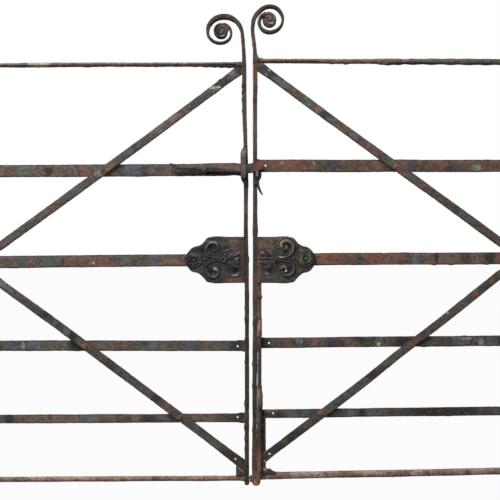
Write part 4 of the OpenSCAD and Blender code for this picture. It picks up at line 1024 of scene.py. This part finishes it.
left_mouldings = [
    [(82, 4.4, 1.8, 2.2), (96, 5.6, 2, 2.8), (108, 7, 2.4, 3), (116, 9.8, 2.7, 3.2),
     (121, 14.5, 3, 3.4), (122, 20, 3.3, 3.8), (119.8, 28, 3.7, 4.4), (116, 37, 4.1, 5),
     (109.4, 43.9, 4.4, 5.6), (101.3, 46.2, 4.5, 6), (93.2, 43.5, 4.3, 6), (88.1, 37.2, 4, 5.6),
     (86.9, 30, 3.6, 5), (89.4, 24.8, 3.3, 4.6), (95, 22.8, 3, 4.6), (99.6, 25.4, 2.8, 4.8),
     (99.2, 30, 2.7, 5)],
    [(82, -3.6, 1.8, 2.2), (96, -4.2, 2, 2.6), (108, -6.6, 2.4, 2.6), (115, -11, 2.7, 2.6),
     (118.5, -18, 3, 2.8), (118.5, -28, 3.2, 3), (115.5, -37, 3.5, 3.6), (109, -44, 4, 4.4),
     (101, -47, 4.4, 5.2), (92.5, -45, 4.2, 5.4), (87.6, -39.5, 3.8, 5), (87.4, -33, 3.6, 4.8),
     (90.8, -28, 4.2, 5.2), (96.5, -25.8, 5.4, 6.2)],
    [(80, 0.8, 1.4, 1.6), (104, 0.9, 1.6, 2), (128, -0.4, 1.6, 2)],
    [(74, 5.8, 2.6, 4), (68.6, 3.2, 2.8, 4.2), (67.4, -2, 2.8, 4.2), (71, -6.6, 2.6, 4),
     (77, -6, 2.6, 4), (79.6, -1, 2.6, 4), (78, 4, 2.6, 4)],
    [(73, 21, 1.6, 1.8), (60, 25.5, 2.4, 3), (50, 28.2, 2, 2.2)],
    [(61, 4, 3.4, 1.4), (54, 7, 6, 2.6), (49, 12, 5, 2.2)],
    [(44, 11, 3, 1.6), (36, 14, 5, 4), (31, 17, 4, 3)],
    [(44, 0, 3, 1.4), (38, 1, 5, 3), (33, 4, 5, 3.6)],
    [(46, -8, 4, 1.6), (39, -9, 5, 2.8), (34, -9, 4, 2.4)],
    [(54, -11, 4, 1.8), (46, -16, 5.4, 2.4), (38, -19, 4.6, 2.2)],
    [(56, -40, 2, 1.6), (47, -43.5, 3, 2.8), (38, -43.5, 3.4, 3.2), (29, -38, 2.6, 2.4)]]
left_hollows = [
    (104, 30, 9, 1.6), (102, -34, 9, 1.6), (39, -32, 8, 2), (66, 30, 10, 1), (128, 22, 8, 1.2),
    (73.5, -0.4, 4, 2), (60, -26, 9, 1)]
right_mouldings = [
    [(80, 6, 1.8, 2.2), (91, 6.2, 2.1, 2.8), (99.5, 7.6, 2.8, 3.2), (106.7, 12.9, 3.5, 3.8),
     (112.5, 20, 4.1, 4.4), (115.4, 29, 4.5, 5), (113.4, 39.6, 4.8, 5.6), (106.2, 47.6, 5, 6),
     (95.9, 50.4, 5, 6.2), (87.2, 47.4, 4.8, 6), (82.4, 41, 4.3, 5.6), (83.8, 34.8, 3.4, 4.6)],
    [(92, 27, 2, 1.6), (97, 29, 4, 3.6), (97.4, 33, 5, 5.2)],
    [(80, -3.2, 1.8, 2.2), (94, -4.2, 2.1, 2.6), (106, -7.6, 2.6, 2.8), (113, -13, 3, 3),
     (116.6, -20, 3.7, 3.8), (117.2, -29, 4.1, 4.2), (112.6, -37.5, 4.4, 4.6),
     (103, -42.6, 4.3, 4.4), (92.5, -40.8, 3.6, 3.4), (85.5, -34.5, 2.8, 2.2)],
    [(81.5, -25, 3, 2.8), (85.5, -20.8, 4.6, 4.8), (91, -19.4, 5.2, 5.6), (95.6, -22.8, 4.5, 5),
     (97.6, -27.6, 3, 4.2), (95.4, -32, 2.6, 5)],
    [(76, 1.4, 1.2, 1.4), (104, 1.2, 1.5, 1.8), (126, 0.6, 1.6, 1.8)],
    [(65.2, 24, 1.8, 2), (65, 10, 2, 3.4), (65.2, -6, 2, 3.4), (65.6, -18, 1.8, 2)],
    [(71.4, 15, 1.5, 1.6), (71, 6, 1.7, 3), (71.2, -4, 1.6, 2.4)],
    [(60, 3.4, 3, 1.2), (47, 3.4, 4, 2.2), (36, 3, 3.6, 2.6), (24, 3.4, 3, 2)],
    [(42, 12, 4, 1.6), (35, 16.4, 5, 3.4), (29, 17.6, 4.4, 3.2)],
    [(58, 14, 3, 1.2), (51, 20, 5, 2), (44, 25, 4, 1.6)],
    [(60, -6, 4, 1.4), (48, -9, 6, 2.2), (36, -9, 6, 2), (24, -7, 4, 1.6)],
    [(52, -16, 5, 1.4), (42, -21, 5, 1.6)],
    [(48, -38, 2, 1.6), (45, -40, 2.6, 2.4), (41, -41, 2, 1.6)]]
right_hollows = [
    (95, 20, 7, 2), (104, 34, 6, 1.2), (104, -28, 8, 1.8), (126, 24, 8, 1), (74, -14, 9, 1),
    (54, -30, 9, 1)]
grid_step, grid_low = 0.6, -66


def cover_tables(mouldings, hollows, button):
    """The ornament's height on a grid over u and w, its steps 0.6 mm: the larger of all
    mouldings and the rosette, less the hollows. The second table is that height over 6, less the
    share by which the mean height 3 mm around it stands above it, so that cavities go below 0; it
    marks the painted shade in the cavities and the rubbed paint and painted highlight on ridges."""
    u, w = np.meshgrid(np.arange(0, 186, grid_step), np.arange(grid_low, 66, grid_step),
                       indexing="ij")
    high = rosette(u, w, *button)
    for marks in mouldings:
        high = np.maximum(high, moulding(u, w, *marks))
    high = 0.92 * high
    for hollow in hollows:
        high = high - bump(u, w, *hollow)
    near = high
    for axis in (0, 1):
        near = sum(np.roll(near, step, axis=axis) for step in range(-7, 8)) / 15
    return high, (high - 1.6 * np.maximum(near - high, 0)) / 6


def look_up(table, u, w):
    """Bilinear interpolation in such a table."""
    i = np.clip(u / grid_step, 0, table.shape[0] - 1.01)
    j = np.clip((w - grid_low) / grid_step, 0, table.shape[1] - 1.01)
    left, under = i.astype(int), j.astype(int)
    a, b = i - left, j - under
    return ((1 - a) * (1 - b) * table[left, under] + a * (1 - b) * table[left + 1, under]
            + (1 - a) * b * table[left, under + 1] + a * b * table[left + 1, under + 1])


cover_outline = [
    (61.7, 20), (61.8, 60), (61.7, 104), (58, 117), (51, 123), (43, 130), (37.5, 140),
    (34.5, 151.5), (29.5, 160.6), (21.5, 167.4), (14, 173), (5, 175), (-5, 175), (-14, 173),
    (-22, 168), (-30, 161), (-34.5, 152), (-36, 143), (-42, 134), (-52, 124), (-59.4, 118),
    (-62.6, 106), (-63, 60), (-62.8, 20)]


def cast_paint(name, paints, ridge, seed):
    """The black-green paint of the castings, rubbed on the ridges, with a painted highlight there
    and painted shade in the hollows.
    """
    return weathered(name, paints, [(73, 60, 51), (90, 71, 60), (102, 88, 75)], 0.3, 16, seed=seed,
                     specks=0.35, coal=0.45, ridge=ridge, gloss=1.15, grain=0.3)


# The last colour of each paint is that of the ridges: rubbed paint and a painted highlight.
left_cast_paint = cast_paint("left_cast_paint", [(36, 37, 36), (45, 44, 41), (33, 38, 39)],
                             (106, 109, 108), 10)
right_cast_paint = cast_paint("right_cast_paint", [(56, 52, 44), (64, 57, 49), (45, 50, 44)],
                              (114, 104, 93), 11)
casting_front_y = -16.8
heart_u = 96.0
castings = [
    ("left", -1, left_cast_paint, left_mouldings, left_hollows, (151.5, -2.5, 17.5), [
        # The pale patches at (-96, 587), (-102, 658) and (-150, 625), on the volutes and the
        # rosette, are painted highlights.
        (-112, 624, 44, 44, (38, 40, 43), 0.85), (-150, 605, 24, 24, (44, 45, 46), 0.8),
        (-52, 652, 26, 20, (98, 80, 66), 0.9), (-40, 660, 20, 9, (110, 88, 72), 0.8),
        (-64, 650, 9, 12, (70, 72, 60), 0.8), (-26, 650, 8, 24, (52, 64, 62), 0.9),
        (-46, 560, 28, 13, (112, 74, 56), 0.95), (-56, 557, 12, 7, (128, 80, 58), 0.9),
        (-34, 556, 12, 7, (100, 68, 54), 0.9), (-43, 569, 9, 4, (150, 148, 142), 0.8),
        (-30, 628, 7, 6, (132, 104, 98), 0.9), (-28, 614, 5, 5, (96, 74, 70), 0.8),
        (-73, 613, 8, 8, (104, 82, 76), 0.8), (-52, 618, 16, 14, (52, 56, 56), 0.8),
        (-61, 638, 12, 3.4, (86, 84, 100), 0.8), (-40, 604, 14, 9, (30, 31, 30), 0.85),
        (-44, 626, 6, 5, (96, 104, 104), 0.7), (-37, 612, 3.5, 4, (140, 112, 106), 0.8),
        (-96, 587, 8, 8, (170, 176, 170), 0.85), (-102, 658, 15, 5, (146, 148, 144), 0.75),
        (-118, 636, 4, 16, (96, 99, 98), 0.6), (-100, 565, 16, 6, (74, 79, 78), 0.8),
        (-151, 610, 9, 9, (40, 42, 48), 0.9), (-150, 625, 12, 5, (120, 122, 116), 0.6),
        (-138, 610, 4, 14, (110, 112, 108), 0.6), (-136, 585, 16, 8, (78, 72, 46), 0.8),
        (-76, 574, 10, 12, (58, 68, 66), 0.8), (-19, 620, 4, 62, (84, 58, 46), 0.8)]),
    ("right", 1, right_cast_paint, right_mouldings, right_hollows, (149.5, 1.5, 18.6), [
        # Painted highlights: the pale patches on the volutes at (86, 655), (98, 662), (112, 650),
        # (110, 632), (83, 647), (88, 592), (96, 586) and (95, 580.5), the thin pale line on the
        # stem at (82, 619) and the pale crescent over the rosette at (141, 638).
        (44, 656, 30, 18, (112, 94, 78), 0.95), (34, 660, 16, 12, (104, 94, 64), 0.9),
        (54, 660, 9, 10, (124, 92, 76), 0.9), (70, 654, 9, 14, (54, 68, 62), 0.95),
        (85, 671, 30, 5, (120, 100, 86), 0.9), (104, 670, 13, 5, (52, 64, 56), 1),
        (86, 655, 10, 12, (176, 144, 130), 0.95), (98, 662, 14, 8, (130, 108, 96), 0.9),
        (112, 650, 9, 16, (106, 94, 82), 0.9), (110, 632, 9, 9, (98, 87, 77), 0.8),
        (83, 647, 4, 4, (206, 172, 158), 0.9), (97, 646, 7, 7, (104, 94, 76), 0.9),
        (86, 631, 10, 5, (56, 84, 44), 0.95), (82, 619, 14, 2.4, (176, 176, 170), 0.9),
        (31, 628, 9, 6, (120, 94, 82), 0.9), (26, 614, 9, 3.5, (110, 82, 70), 0.9),
        (46, 616, 14, 8, (48, 52, 48), 0.85), (36, 604, 14, 8, (42, 44, 36), 0.85),
        (30, 596, 8, 4, (84, 78, 58), 0.8), (65, 612, 3, 22, (104, 84, 76), 0.85),
        (71, 618, 3, 10, (116, 102, 94), 0.7), (50, 632, 5, 4, (96, 84, 72), 0.7),
        (88, 592, 10, 7, (114, 97, 84), 0.95), (96, 586, 4, 6, (112, 100, 90), 0.8),
        (95, 580.5, 2.8, 2.8, (240, 232, 224), 1), (116, 586, 6, 14, (72, 68, 61), 0.8),
        (104, 572, 14, 6, (60, 68, 64), 0.8), (150, 613, 9, 9, (36, 42, 40), 0.95),
        (158, 617, 7, 11, (140, 152, 126), 0.9), (137, 616, 5, 14, (128, 116, 108), 0.7),
        (141, 638, 12, 4, (150, 132, 114), 0.85), (55, 565, 36, 14, (70, 72, 62), 0.8),
        (47, 573, 5, 5, (150, 144, 130), 0.8), (47, 565, 4, 3, (140, 132, 120), 0.7),
        (22, 580, 6, 40, (120, 84, 66), 0.9)])]
for side, way, paint, mouldings, hollows, button, stains_and_light in castings:
    cover_low, cover_high = span(f"{side}_cover")
    plate_low, plate_high = span(f"{side}_back_plate")
    near = abs(cover_high[0] if side == "left" else cover_low[0]) - 1.2
    middle = (cover_low[2] + cover_high[2]) / 2
    rows = np.array([(w, max(u, near)) for w, u in cover_outline], float)
    steps = smooth_line(np.stack([rows[:, 1], rows[:, 0], 0 * rows[:, 0]], axis=1), 1.5)[:, :2]
    gap_fill = np.stack([np.full(60, near), np.linspace(-62, 61, 60)], axis=1)
    outline = np.concatenate([steps, gap_fill]) * [way, 1] + [0, middle]
    heart = np.array([way * heart_u, middle])
    heights, marks = cover_tables(mouldings, hollows, button)

    def ornament(x, z):
        return look_up(heights, way * x, z - middle)

    # Marks the painted shade in the hollows and the painted highlight on the ridges.
    def cavities(x, z):
        return look_up(marks, way * x, z - middle)

    casting = make_piece(f"{side}_casting", [plaque(
        heart, outline, casting_front_y, cover_high[1], ornament, 50 + way, 110, 540, 2.4, 0.6,
        cavities)], stains_and_light, 50 + way)
    hang(casting, paint, side + "_leaf", "cast_cover", f"{side}_cover")
    backing = make_piece(f"{side}_backing", [plaque(
        heart, outline, plate_low[1] + 0.1, plate_high[1], lambda x, z: 0 * x, 54 + way, 20, 260,
        1.2, 0.6)])
    hang(backing, paint, side + "_leaf", "cast_cover", f"{side}_back_plate")
    heads = [rivet_head(way * u, middle + w, plate_high[1] - 0.2, 6, 2.6, 1, index)
             for index, (u, w) in enumerate([(36, 48), (36, -48), (112, 38), (112, -38)])]
    heads = make_piece(f"{side}_plate_rivets", heads)
    hang(heads, rivet_rust, side + "_leaf", "rivet_iron", f"{side}_cover_rivets")

# ------------------------------------------------------------------------------------------------
# Latch
# A forged lever turns on a rivet in the left leaf's second rail. Its finger tail is drawn out and
# curled up, and its tongue passes a staple on one stile and drops into a keeper on the other.
# ------------------------------------------------------------------------------------------------

bar_low = span("latch_bar")[0]
pivot = np.mean(span("latch_pivot"), axis=0)[[0, 2]]
lever_y = bar_low[1] + 3.5
lever_line = [
    (-6, 2.6, 11), (20, 3, 11.8), (60, 2.6, 12.6), (105, 1.2, 12.8), (124, 1, 13), (134, 4, 13),
    (144, 7, 13), (152, 7.6, 12), (157, 7.4, 9.6)]
tail_line = [
    (4, 3, 9.6), (-14, 4.6, 8.6), (-32, 5, 7.8), (-50, 4.4, 6.6), (-64, 2.6, 5.4), (-74, 3, 4.6),
    (-82, 6.4, 4), (-88, 10.4, 3.2), (-92.4, 13.6, 2.4)]


def flat_forging(line, seed, y, half_thick):
    """A flat forging in the plane of the gates: its half width lies square to its own line."""
    path = smooth_line([(pivot[0] + x, y, pivot[1] + z, half) for x, z, half in line], 1.6)
    return bar(path[:, :3], plane_across(path), path[:, 3], half_thick,
               min(1.6, 0.9 * path[:, 3].min()), seed)


def bent_strip(line, spacing, half_thick, corner, seed):
    """A flat strip that is bent out of the plane of the gates: its half width lies along x."""
    path = smooth_line(line, spacing)
    return bar(path[:, :3], (1, 0, 0), path[:, 3], half_thick, corner, seed, 0.7)


def round_plate(centre, radius, front, back, rise, seed):
    """A round forging with a low dome on its face: rise times 1 - (distance / radius) squared."""
    turn = bearings(48)
    outline = outline_at(*centre, radius * (1 + 0.03 * np.sin(3 * turn + seed)), turn)

    def dome(x, z):
        away = np.hypot(x - centre[0], z - centre[1]) / radius
        return rise * np.clip(1 - away ** 2, 0, 1)

    return plaque(centre, outline, front, back, dome, seed, 16, 48, 2.2, 0.6)


def strap_rivets(node, name, body, face_y, stain_and_light):
    """The heads of the two rivets that hold a strap, 4 mm from the ends of their node."""
    low, high = span(node)
    heads = make_piece(name, [
        rivet_head((low[0] + high[0]) / 2, z, face_y, 3.6, 1.7, -1, seed)
        for seed, z in enumerate([low[2] + 4, high[2] - 4])], [stain_and_light])
    hang(heads, latch_rust, body, "rivet_iron", node)


latch_lever = make_piece("latch_lever", [
    flat_forging(lever_line, 61, lever_y, 3.4), flat_forging(tail_line, 62, lever_y - 0.3, 3.2),
    round_plate(pivot + [0, 0.8], 12.6, bar_low[1] - 0.1, -5.3, 1, 63)], [
    # The dark patches on the lever's lower edge, at (-100, 851), (-50, 848) and (-172, 856), are
    # painted shade and shadow, and the paler ones on its upper half, at (-52, 862) and (-150, 864),
    # painted highlights.
    (21, 866, 15, 15, (144, 76, 68), 0.95), (-3, 859, 9, 16, (60, 76, 71), 0.9),
    (-52, 862, 34, 7, (112, 98, 88), 0.8), (-94, 866, 14, 5, (118, 88, 70), 0.85),
    (-112, 864, 13, 6, (74, 84, 84), 0.85), (-130, 859, 12, 8, (98, 78, 66), 0.85),
    (-150, 864, 24, 3.4, (112, 98, 90), 0.8), (-100, 851, 50, 7, (44, 41, 37), 0.9),
    (-50, 848, 34, 5, (58, 54, 50), 0.85), (-172, 856, 30, 4, (32, 30, 27), 1),
    (-205, 866, 12, 6, (60, 56, 50), 0.8)], 6)
latch_rust = weathered(
    "latch_rust", [(94, 82, 75), (85, 76, 69), (70, 70, 67)],
    [(103, 78, 68), (118, 90, 78), (132, 112, 98)], 0.55, 18, seed=12)
hang(latch_lever, latch_rust, "latch", "latch_iron", "latch_bar")
pivot_head = make_piece("latch_pivot_head", [
    rivet_head(pivot[0], pivot[1], bar_low[1] - 0.8, 6.8, 1.9, -1, 4),
    rivet_head(pivot[0], pivot[1], 4.8, 8.4, 3.2, 1, 5)])
hang(pivot_head, latch_rust, "left_leaf", "rivet_iron", "latch_pivot")

staple_low, staple_high = span("latch_staple")
staple_mid = (staple_low[2] + staple_high[2]) / 2
out_y, foot_y = staple_low[1] + 3.4, staple_high[1] - 1.8
staple_line = [
    (-13.2, foot_y, staple_mid + 57, 1.6), (-13.8, foot_y, staple_mid + 50, 3.2),
    (-15.5, foot_y - 0.4, staple_mid + 42, 5.6), (-17.6, foot_y - 3, staple_mid + 35, 7.6),
    (-18.6, out_y + 3, staple_mid + 30, 7.8), (-18.8, out_y, staple_mid + 25, 7.8),
    (-19, out_y, staple_mid, 7.8), (-18.8, out_y, staple_mid - 32, 7.8),
    (-18.6, out_y + 1.4, staple_mid - 38, 7.4), (-17.8, foot_y - 3, staple_mid - 43, 6.6),
    (-16.4, foot_y, staple_mid - 48, 5.6), (-14.8, foot_y, staple_mid - 53, 4),
    (-13.4, foot_y, staple_mid - 59, 1.5)]
staple = make_piece("latch_strap", [bent_strip(staple_line, 1.6, 1.75, 1.2, 64)], [
    (-19, 878, 12, 26, (102, 92, 85), 0.8), (-20, 902, 9, 3, (148, 128, 109), 0.8),
    (-19, 850, 10, 14, (104, 88, 82), 0.8), (-16, 824, 12, 12, (34, 31, 30), 0.95),
    (-16, 888, 5, 10, (71, 84, 84), 0.7)], 64)
hang(staple, latch_rust, "left_leaf", "latch_iron", "latch_staple")
strap_rivets("latch_staple_rivets", "latch_strap_rivets", "left_leaf", foot_y - 1.5,
             (-13, 870, 14, 80, (56, 50, 46), 0.95))

keeper_low, keeper_high = span("latch_keeper")
lip_y = keeper_low[1] + 3.2
keeper_strap = [
    (13.2, -16, keeper_low[2] + 1, 5), (13.2, -16, 821, 5.2), (13.6, -16.4, 829.6, 5.2),
    (15, -18.6, 834.8, 5), (16.6, -22, 835.8, 4.8), (17.4, lip_y + 1.6, 835.8, 4.6),
    (17.6, lip_y, 840, 4.5), (17.6, lip_y, keeper_high[2] - 1, 4.2)]
keeper_lug = [
    (22.8, -12, 850, 4.4), (23.8, -12.2, 845, 5.6), (24.2, -13.4, 838, 5.6), (22.8, -16, 831, 5),
    (20.8, -16.6, 825, 3.6), (19.6, -16.4, 820, 2.2)]
keeper_spur = smooth_line([
    (18, -15.4, 832, 4.6), (19, -15.6, 824, 4.3), (20.6, -15.8, 812, 4), (23.6, -16, 802, 3.6),
    (27.6, -16, 794, 2.8), (32, -16, 787, 1.8)], 1.4)
keeper = make_piece("latch_catch", [
    bent_strip(keeper_strap, 1.4, 2.1, 1.4, 65), bent_strip(keeper_lug, 1.4, 2.4, 1.2, 66),
    bar(keeper_spur[:, :3], (0, 1, 0), keeper_spur[:, 3], keeper_spur[:, 3] * 0.95, 0.8, 67,
        0.4)], [
    # The pale strip at (18, 842) is a painted highlight.
    (22, 832, 9, 10, (96, 72, 58), 0.9), (18, 842, 3.4, 9, (176, 142, 120), 0.95),
    (27.5, 840, 4, 9, (32, 27, 25), 0.95), (13, 820, 6, 14, (62, 64, 60), 0.9),
    (24, 804, 14, 24, (20, 18, 17), 1), (19, 820, 3.4, 9, (30, 27, 25), 0.9)], 65)
hang(keeper, latch_rust, "right_leaf", "latch_iron", "latch_keeper")
strap_rivets("latch_keeper_rivets", "latch_catch_rivets", "right_leaf", -17.8,
             (13, 820, 9, 24, (58, 56, 52), 0.95))

# ------------------------------------------------------------------------------------------------
# Drop bolt
# A round rod slides in two sleeves that are pinned to the right stile. A collar welded on it
# carries it on the upper sleeve when it is down.
# ------------------------------------------------------------------------------------------------


def sleeve(x, y, low_z, high_z, bore, reach, flats, seed, lumps=(), amount=0.7):
    """A tube around an upright axis. Its wall's section goes up outside, over, down the bore and
    back. The outside is reach, plus flats times a cosine of four times the angle, plus noise."""
    turn = bearings(40)
    rise = np.linspace(0, 1, max(int((high_z - low_z) / 2.4), 6))
    outer = reach + flats * np.cos(4 * turn) + 0 * rise[:, None]
    radius = np.concatenate([outer[:1] - 1.2, outer, outer[-1:] - 1.2,
                             np.full((len(rise), len(turn)), bore)])
    z = np.r_[low_z, low_z + 1 + (high_z - low_z - 2) * rise, high_z,
              high_z - 0.3 - (high_z - low_z - 0.6) * rise]
    rings = np.stack([x + radius * np.cos(turn), y + radius * np.sin(turn),
                      np.broadcast_to(z[:, None], radius.shape)], axis=-1)
    facing = np.stack([np.cos(turn), np.sin(turn), 0 * turn], axis=-1)
    outside = np.r_[np.ones(len(rise) + 2), np.zeros(len(rise))][:, None, None]
    move = forged_surface(rings, seed, amount) + swell(rings, lumps)
    rings = rings + facing * outside * move[..., None]
    here = np.arange(rings.shape[0] * rings.shape[1]).reshape(rings.shape[:2])
    beside, above = np.roll(here, -1, axis=1), np.roll(here, -1, axis=0)
    quads = np.stack([here, beside, np.roll(above, -1, axis=1), above], axis=-1).reshape(-1, 4)
    edge = np.repeat(np.r_[1, np.exp(-6 * np.minimum(rise, 1 - rise)), 1, 0 * rise], len(turn))
    return rings.reshape(-1, 3), quads, np.zeros((0, 3), int), edge


bolt_low, bolt_high = span("drop_bolt")
bolt_x, bolt_y = bolt_low[0] + 4.2, (bolt_low[1] + bolt_high[1]) / 2
collar_z = 512
rod_half = 5.95
rod_z = np.linspace(bolt_low[2] + 8, bolt_high[2] - 0.6, 224)
point = np.clip((48 - rod_z) / 40, 0, 1) ** 1.3
rod = np.stack([bolt_x - 1.6 * point, 0 * rod_z + bolt_y, rod_z], axis=1)
rod_rust = weathered(
    "rod_rust", [(77, 68, 60), (86, 73, 65), (66, 61, 57)],
    [(102, 74, 63), (120, 88, 75), (134, 111, 99)], 0.5, 16, seed=13, specks=0.9)
drop_rod = make_piece("drop_rod", [
    bar(rod, (1, 0, 0), rod_half - 2.6 * point, rod_half - 2.6 * point, 3, 71, 0.2),
    bar([(bolt_x, bolt_y, collar_z + up) for up in (-3.5, -2, 0, 2, 3.5)], (1, 0, 0),
        [7, 7.8, 7.9, 7.8, 7], [7, 7.8, 7.9, 7.8, 7], 6.6, 72, 0.4)], [
    (bolt_x, 60, 12, 50, (134, 96, 78), 0.85), (bolt_x, 140, 10, 30, (70, 62, 50), 0.8),
    # The pale lines at bolt_x - 4.6 and bolt_x - 5 are painted light along the rod's left side.
    (bolt_x, 330, 10, 60, (70, 63, 56), 0.6), (bolt_x - 4.6, 352, 2, 9, cream, 1),
    (bolt_x - 4.6, 336, 1.6, 6, cream, 0.9), (bolt_x - 4.6, 426, 2, 16, cream, 0.5),
    (bolt_x - 5, 300, 2, 30, (190, 180, 160), 0.7), (bolt_x, 530, 10, 26, (112, 74, 62), 0.85),
    (bolt_x, 549, 12, 6, (40, 32, 28), 1), (bolt_x, 480, 10, 26, (122, 104, 90), 0.8)], 71)
hang(drop_rod, rod_rust, "bolt", "bolt_iron", "drop_bolt")
for name, node, thick, seed, lumps, stains_and_light in (
        ("upper_sleeve", "bolt_upper_guide", 6.9, 73, [],
         [(26, 430, 10, 22, (196, 150, 124), 0.95), (18.4, 440, 1.6, 30, (60, 52, 46), 0.9)]),
        ("lower_sleeve", "bolt_lower_guide", 7.1, 74, [(34, 246, 12, 2.4), (34, 222, 14, 2.4)],
         # The pale lines at x 19 are painted light along the sleeve's left side.
         [(27, 246, 6, 20, (150, 116, 96), 0.9), (19, 215, 2, 70, (170, 160, 142), 0.8),
          (34, 222, 3, 46, (50, 45, 42), 0.85), (26, 196, 7, 26, (66, 72, 64), 0.8),
          (19, 150, 1.6, 24, (190, 180, 160), 0.8), (27, 150, 7, 30, (52, 50, 44), 0.7),
          (38, 110, 6, 80, (50, 43, 39), 0.9), (27, 70, 9, 50, (134, 94, 74), 0.85)])):
    low, high = span(node)
    parts = [sleeve(bolt_x, bolt_y, low[2], high[2], rod_half + 0.3, thick, 0.2, seed, lumps)]
    if name == "lower_sleeve":
        apron = [(29, -7.6, z) for z in range(25, 190, 4)]
        parts.append(bar(apron, (1, 0, 0), 11.6, 2, 1, 75, 0.4))
    guide = make_piece(name, parts, stains_and_light, seed)
    hang(guide, rod_rust, "right_leaf", "bolt_iron", node)

# ------------------------------------------------------------------------------------------------
# Hinge stiles and hinges
# A square bar closes each leaf at the wall. Two eyes, whose shanks go through the bar, drop over
# the pins of pintles, and the pintles' plates are bolted to the wall or post.
# ------------------------------------------------------------------------------------------------

hinge_paint = weathered(
    "hinge_paint", [(70, 66, 61), (85, 76, 69), (62, 66, 66)],
    [(95, 72, 59), (114, 86, 71), (129, 108, 95)], 0.45, 26, seed=14)
pin_u, pin_bore = 783, 8.12
shank_u = np.linspace(728, 768, 21)
shank_half = np.interp(shank_u, [728, 730, 733, 753, 755, 758, 768],
                       [9.4, 9.6, 9.4, 9.6, 9.8, 9, 9])
for side, way in ways.items():
    low, high = span(f"{side}_hinge_stile")
    x = (low[0] + high[0]) / 2
    z = np.arange(low[2] + 2, high[2] - 1, 3)
    post = make_piece(f"{side}_hinge_post", [bar(
        np.stack([0 * z + x, 0 * z, z], axis=1), (1, 0, 0), 10.8, 10.8, 2.4, 81 + (x > 0), 0.9)],
        (), 81)
    hang(post, hinge_paint, side + "_leaf", "stile_iron", f"{side}_hinge_stile")
    for place in ("upper", "lower"):
        low, high = span(f"{side}_{place}_eye")
        shank = [(way * u, 0, (low[2] + high[2]) / 2) for u in shank_u]
        eye = make_piece(f"{side}_{place}_strap_eye", [
            bar(shank, (0, 0, 1), shank_half, shank_half, 5, 84, 0.6),
            sleeve(way * pin_u, 0, low[2], high[2], pin_bore, 16.6, 0, 85, (), 0.6)])
        hang(eye, hinge_paint, side + "_leaf", "hinge_iron", f"{side}_{place}_eye")
        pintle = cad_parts[f"{side}_{place}_pintle"]
        weld = pintle.modifiers.new("join_faces", "WELD")
        weld.merge_threshold = 0.00001
        round_over = pintle.modifiers.new("round_edges", "BEVEL")
        round_over.width = 0.0007
        round_over.segments = 2
        round_over.limit_method = "ANGLE"
        for mat_slot in pintle.material_slots:
            mat_slot.material = hinge_paint
